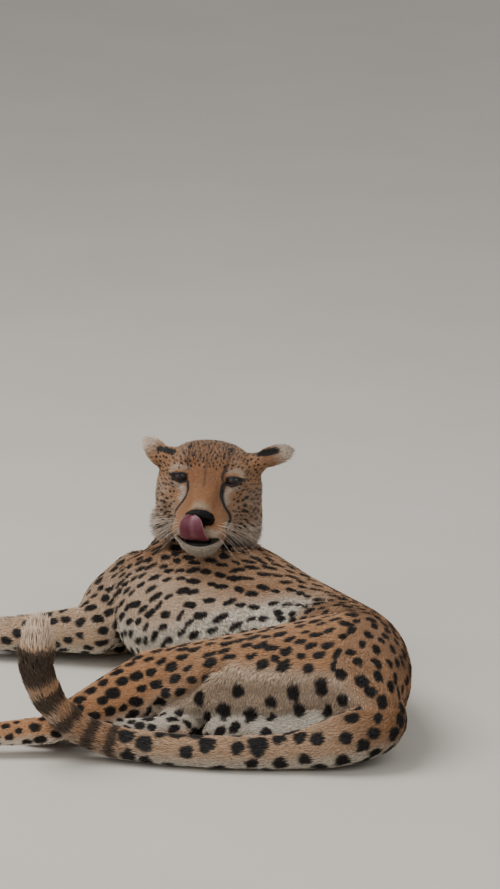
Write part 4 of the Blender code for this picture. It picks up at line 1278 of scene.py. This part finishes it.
def makeTongue():
    line = curveThrough(tongueShape["stations"], tongueShape["spans"])
    centres, wide, thick = line[:, :3], line[:, 3], line[:, 4]
    tangents = unit(np.gradient(centres, axis=0))
    across = np.array((1.0, 0.0, 0.0))
    upper = unit(np.cross(across, tangents))   # the licking side, which faces out at the curl
    points, faces, edge, centreLine = [], [], [], []
    around, count = tongueShape["round"], len(line)
    share = np.linspace(0, 1, count)
    for i in range(count):
        curl = ease(0.30, 0.75, share[i])
        for k in range(around):
            turn = 2 * math.pi * k / around
            c, s = math.cos(turn), math.sin(turn)
            x = wide[i] * math.copysign(abs(c) ** 0.8, c)
            bulge = thick[i] * math.copysign(abs(s) ** 0.9, s)
            part = x / max(wide[i], 1e-6)
            groove = tongueShape["groove"] * math.exp(-(x / 0.0022) ** 2) * (1 if s > 0 else -0.4)
            cup = tongueShape["cup"] * (part * part) * curl
            points.append(centres[i] + across * x - upper[i] * (bulge - groove + cup))
            edge.append(abs(part))
            centreLine.append(math.exp(-(x / 0.0011) ** 2))
    for i in range(count - 1):
        for k in range(around):
            m = (k + 1) % around
            faces.append((i * around + k, i * around + m, (i + 1) * around + m, (i + 1) * around + k))
    faces.append(tuple(range(around)))
    faces.append(tuple((count - 1) * around + k for k in reversed(range(around))))
    tongue = meshObject("tongueFlesh", fromHead(np.array(points)), faces)
    turnOutward(tongue)
    setAttribute(tongue.data, "edge", edge)
    setAttribute(tongue.data, "middle", centreLine)
    applyModifier(tongue, "SUBSURF", levels=1, render_levels=1)
    useOnly(tongue)
    bpy.ops.object.shade_smooth()
    material, shader = newMaterial("wetTongue")   # wet muscle with fine horny points about 0.6 mm apart
    place = addNode(material, "ShaderNodeTexCoord")
    papillae = addNode(material, "ShaderNodeTexVoronoi", {"Scale": 1500.0}, {"Vector": (place, "Object")})
    stain = addNode(material, "ShaderNodeTexNoise", {"Scale": 220.0, "Detail": 3.0},
                    {"Vector": (place, "Object")})
    edgeRead = addNode(material, "ShaderNodeAttribute", {"attribute_name": "edge"})
    middleRead = addNode(material, "ShaderNodeAttribute", {"attribute_name": "middle"})
    rim = addNode(material, "ShaderNodeMapRange",
                  {"From Min": 0.86, "From Max": 0.99, "To Min": 0.0, "To Max": 0.75},
                  {"Value": (edgeRead, "Fac")})
    flesh = addNode(material, "ShaderNodeMix",
                    {"data_type": "RGBA", 6: linear("#58202F"), 7: linear("#70323F")},
                    {0: (stain, "Fac")})
    rimmed = addNode(material, "ShaderNodeMix", {"data_type": "RGBA", 7: linear("#9A5F63")},
                     {0: (rim, "Result"), 6: (flesh, 2)})
    seamed = addNode(material, "ShaderNodeMath", {"operation": "MULTIPLY", 1: 0.55}, {0: (middleRead, "Fac")})
    lined = addNode(material, "ShaderNodeMix", {"data_type": "RGBA", 7: linear("#8E5660")},
                    {0: (seamed, "Value"), 6: (rimmed, 2)})
    bump = addNode(material, "ShaderNodeBump", {"Strength": 0.45, "Distance": 0.0004},
                   {"Height": (papillae, "Distance")})
    link(material, lined, 2, shader, "Base Color")
    link(material, bump, "Normal", shader, "Normal")
    shader.inputs["Roughness"].default_value = 0.34
    shader.inputs["Subsurface Weight"].default_value = 0.12
    shader.inputs["Subsurface Scale"].default_value = 0.002
    tongue.data.materials.append(material)
    return tongue


tongue = makeTongue()
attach(tongue, "root")
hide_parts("tongue")
print("nose and tongue made")


# whiskers and claws

whiskerSet = {"rows": 4, "each": 3, "thick": 0.00024, "long": (0.040, 0.075)}
paws = {"hindLeft": 0.029, "hindRight": 0.026, "foreLeft": 0.027, "foreRight": 0.025}
claw = {"long": 0.0095, "thick": 0.0017}


def makeWhiskers():
    parts = []
    for side in (1, -1):
        for row in range(whiskerSet["rows"]):
            for k in range(whiskerSet["each"]):
                start = np.array((side * (0.0235 + 0.0032 * k + 0.001 * row), 0.0650 - 0.0075 * k,
                                  -0.0560 - 0.0042 * row + 0.0008 * k))
                found = skinTree.find_nearest(tuple(fromHead(start[None])[0]))
                start = toHead(np.array(found[0])[None])[0] - np.array((0, 0.001, 0))
                length = dice.uniform(*whiskerSet["long"]) * (0.75 + 0.09 * k)
                way = unit(np.array([side * (0.86 + 0.05 * k), 0.42 - 0.22 * k, -0.12 - 0.20 * row
                                     + dice.normal(0, 0.05)]))
                droop = np.array((0, -0.35 - 0.1 * k, -0.22 - 0.04 * row))
                t = np.linspace(0, 1, 10)[:, None]
                line = start + length * (way * t + droop * 0.5 * t * t)
                parts.append(tube(fromHead(line), whiskerSet["thick"] * (1.05 - t[:, 0] * 0.85), sides=5))
    obj = meshObject("whiskers", *joined(parts))
    turnOutward(obj)
    material, shader = newMaterial("whiskerBristle")   # stiff translucent white hair
    place = addNode(material, "ShaderNodeTexCoord")
    vary = addNode(material, "ShaderNodeTexNoise", {"Scale": 60.0}, {"Vector": (place, "Object")})
    tone = addNode(material, "ShaderNodeMix",
                   {"data_type": "RGBA", 6: linear("#E9E2D6"), 7: linear("#CFC4B2")},
                   {0: (vary, "Fac")})
    link(material, tone, 2, shader, "Base Color")
    shader.inputs["Roughness"].default_value = 0.35
    obj.data.materials.append(material)
    return obj


def makeClaws():
    parts = []
    for name, halfWidth in paws.items():
        ball, toes = [np.array(p) for p in chains[name][-2:]]
        ahead = unit(toes - ball)
        up = np.array((0.0, 0.0, 1.0))
        side = unit(np.cross(ahead, up))
        rise = np.cross(side, ahead)
        reach = np.linalg.norm(toes - ball)
        for k, share in enumerate((0.80, 1.0, 1.0, 0.80)):
            centre = ball + (toes - ball) * share + side * (k - 1.5) * halfWidth * 0.52
            root = centre + ahead * reach * 0.36 + rise * 0.001
            t = np.linspace(0, 1, 8)[:, None]
            line = root + claw["long"] * (ahead * (t - 0.25 * t * t) - rise * (0.55 * t * t) + rise * 0.12 * t)
            line[:, 2] = np.maximum(line[:, 2], 0.0009)
            parts.append(tube(line, claw["thick"] * (1.0 - 0.92 * t[:, 0] ** 1.3), sides=8))
    obj = meshObject("claws", *joined(parts))
    turnOutward(obj)
    material, shader = newMaterial("clawHorn")   # worn horn: dark, paler where it is scuffed
    place = addNode(material, "ShaderNodeTexCoord")
    vary = addNode(material, "ShaderNodeTexNoise", {"Scale": 500.0, "Detail": 3.0},
                   {"Vector": (place, "Object")})
    tone = addNode(material, "ShaderNodeMix",
                   {"data_type": "RGBA", 6: linear("#1C1613"), 7: linear("#54463B")},
                   {0: (vary, "Fac")})
    bump = addNode(material, "ShaderNodeBump", {"Strength": 0.3, "Distance": 0.0003},
                   {"Height": (vary, "Fac")})
    link(material, tone, 2, shader, "Base Color")
    link(material, bump, "Normal", shader, "Normal")
    shader.inputs["Roughness"].default_value = 0.45
    obj.data.materials.append(material)
    return obj


for piece, slotName in ((makeWhiskers(), "whisker"), (makeClaws(), "claw")):
    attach(piece, "root")
print("whiskers and claws made")
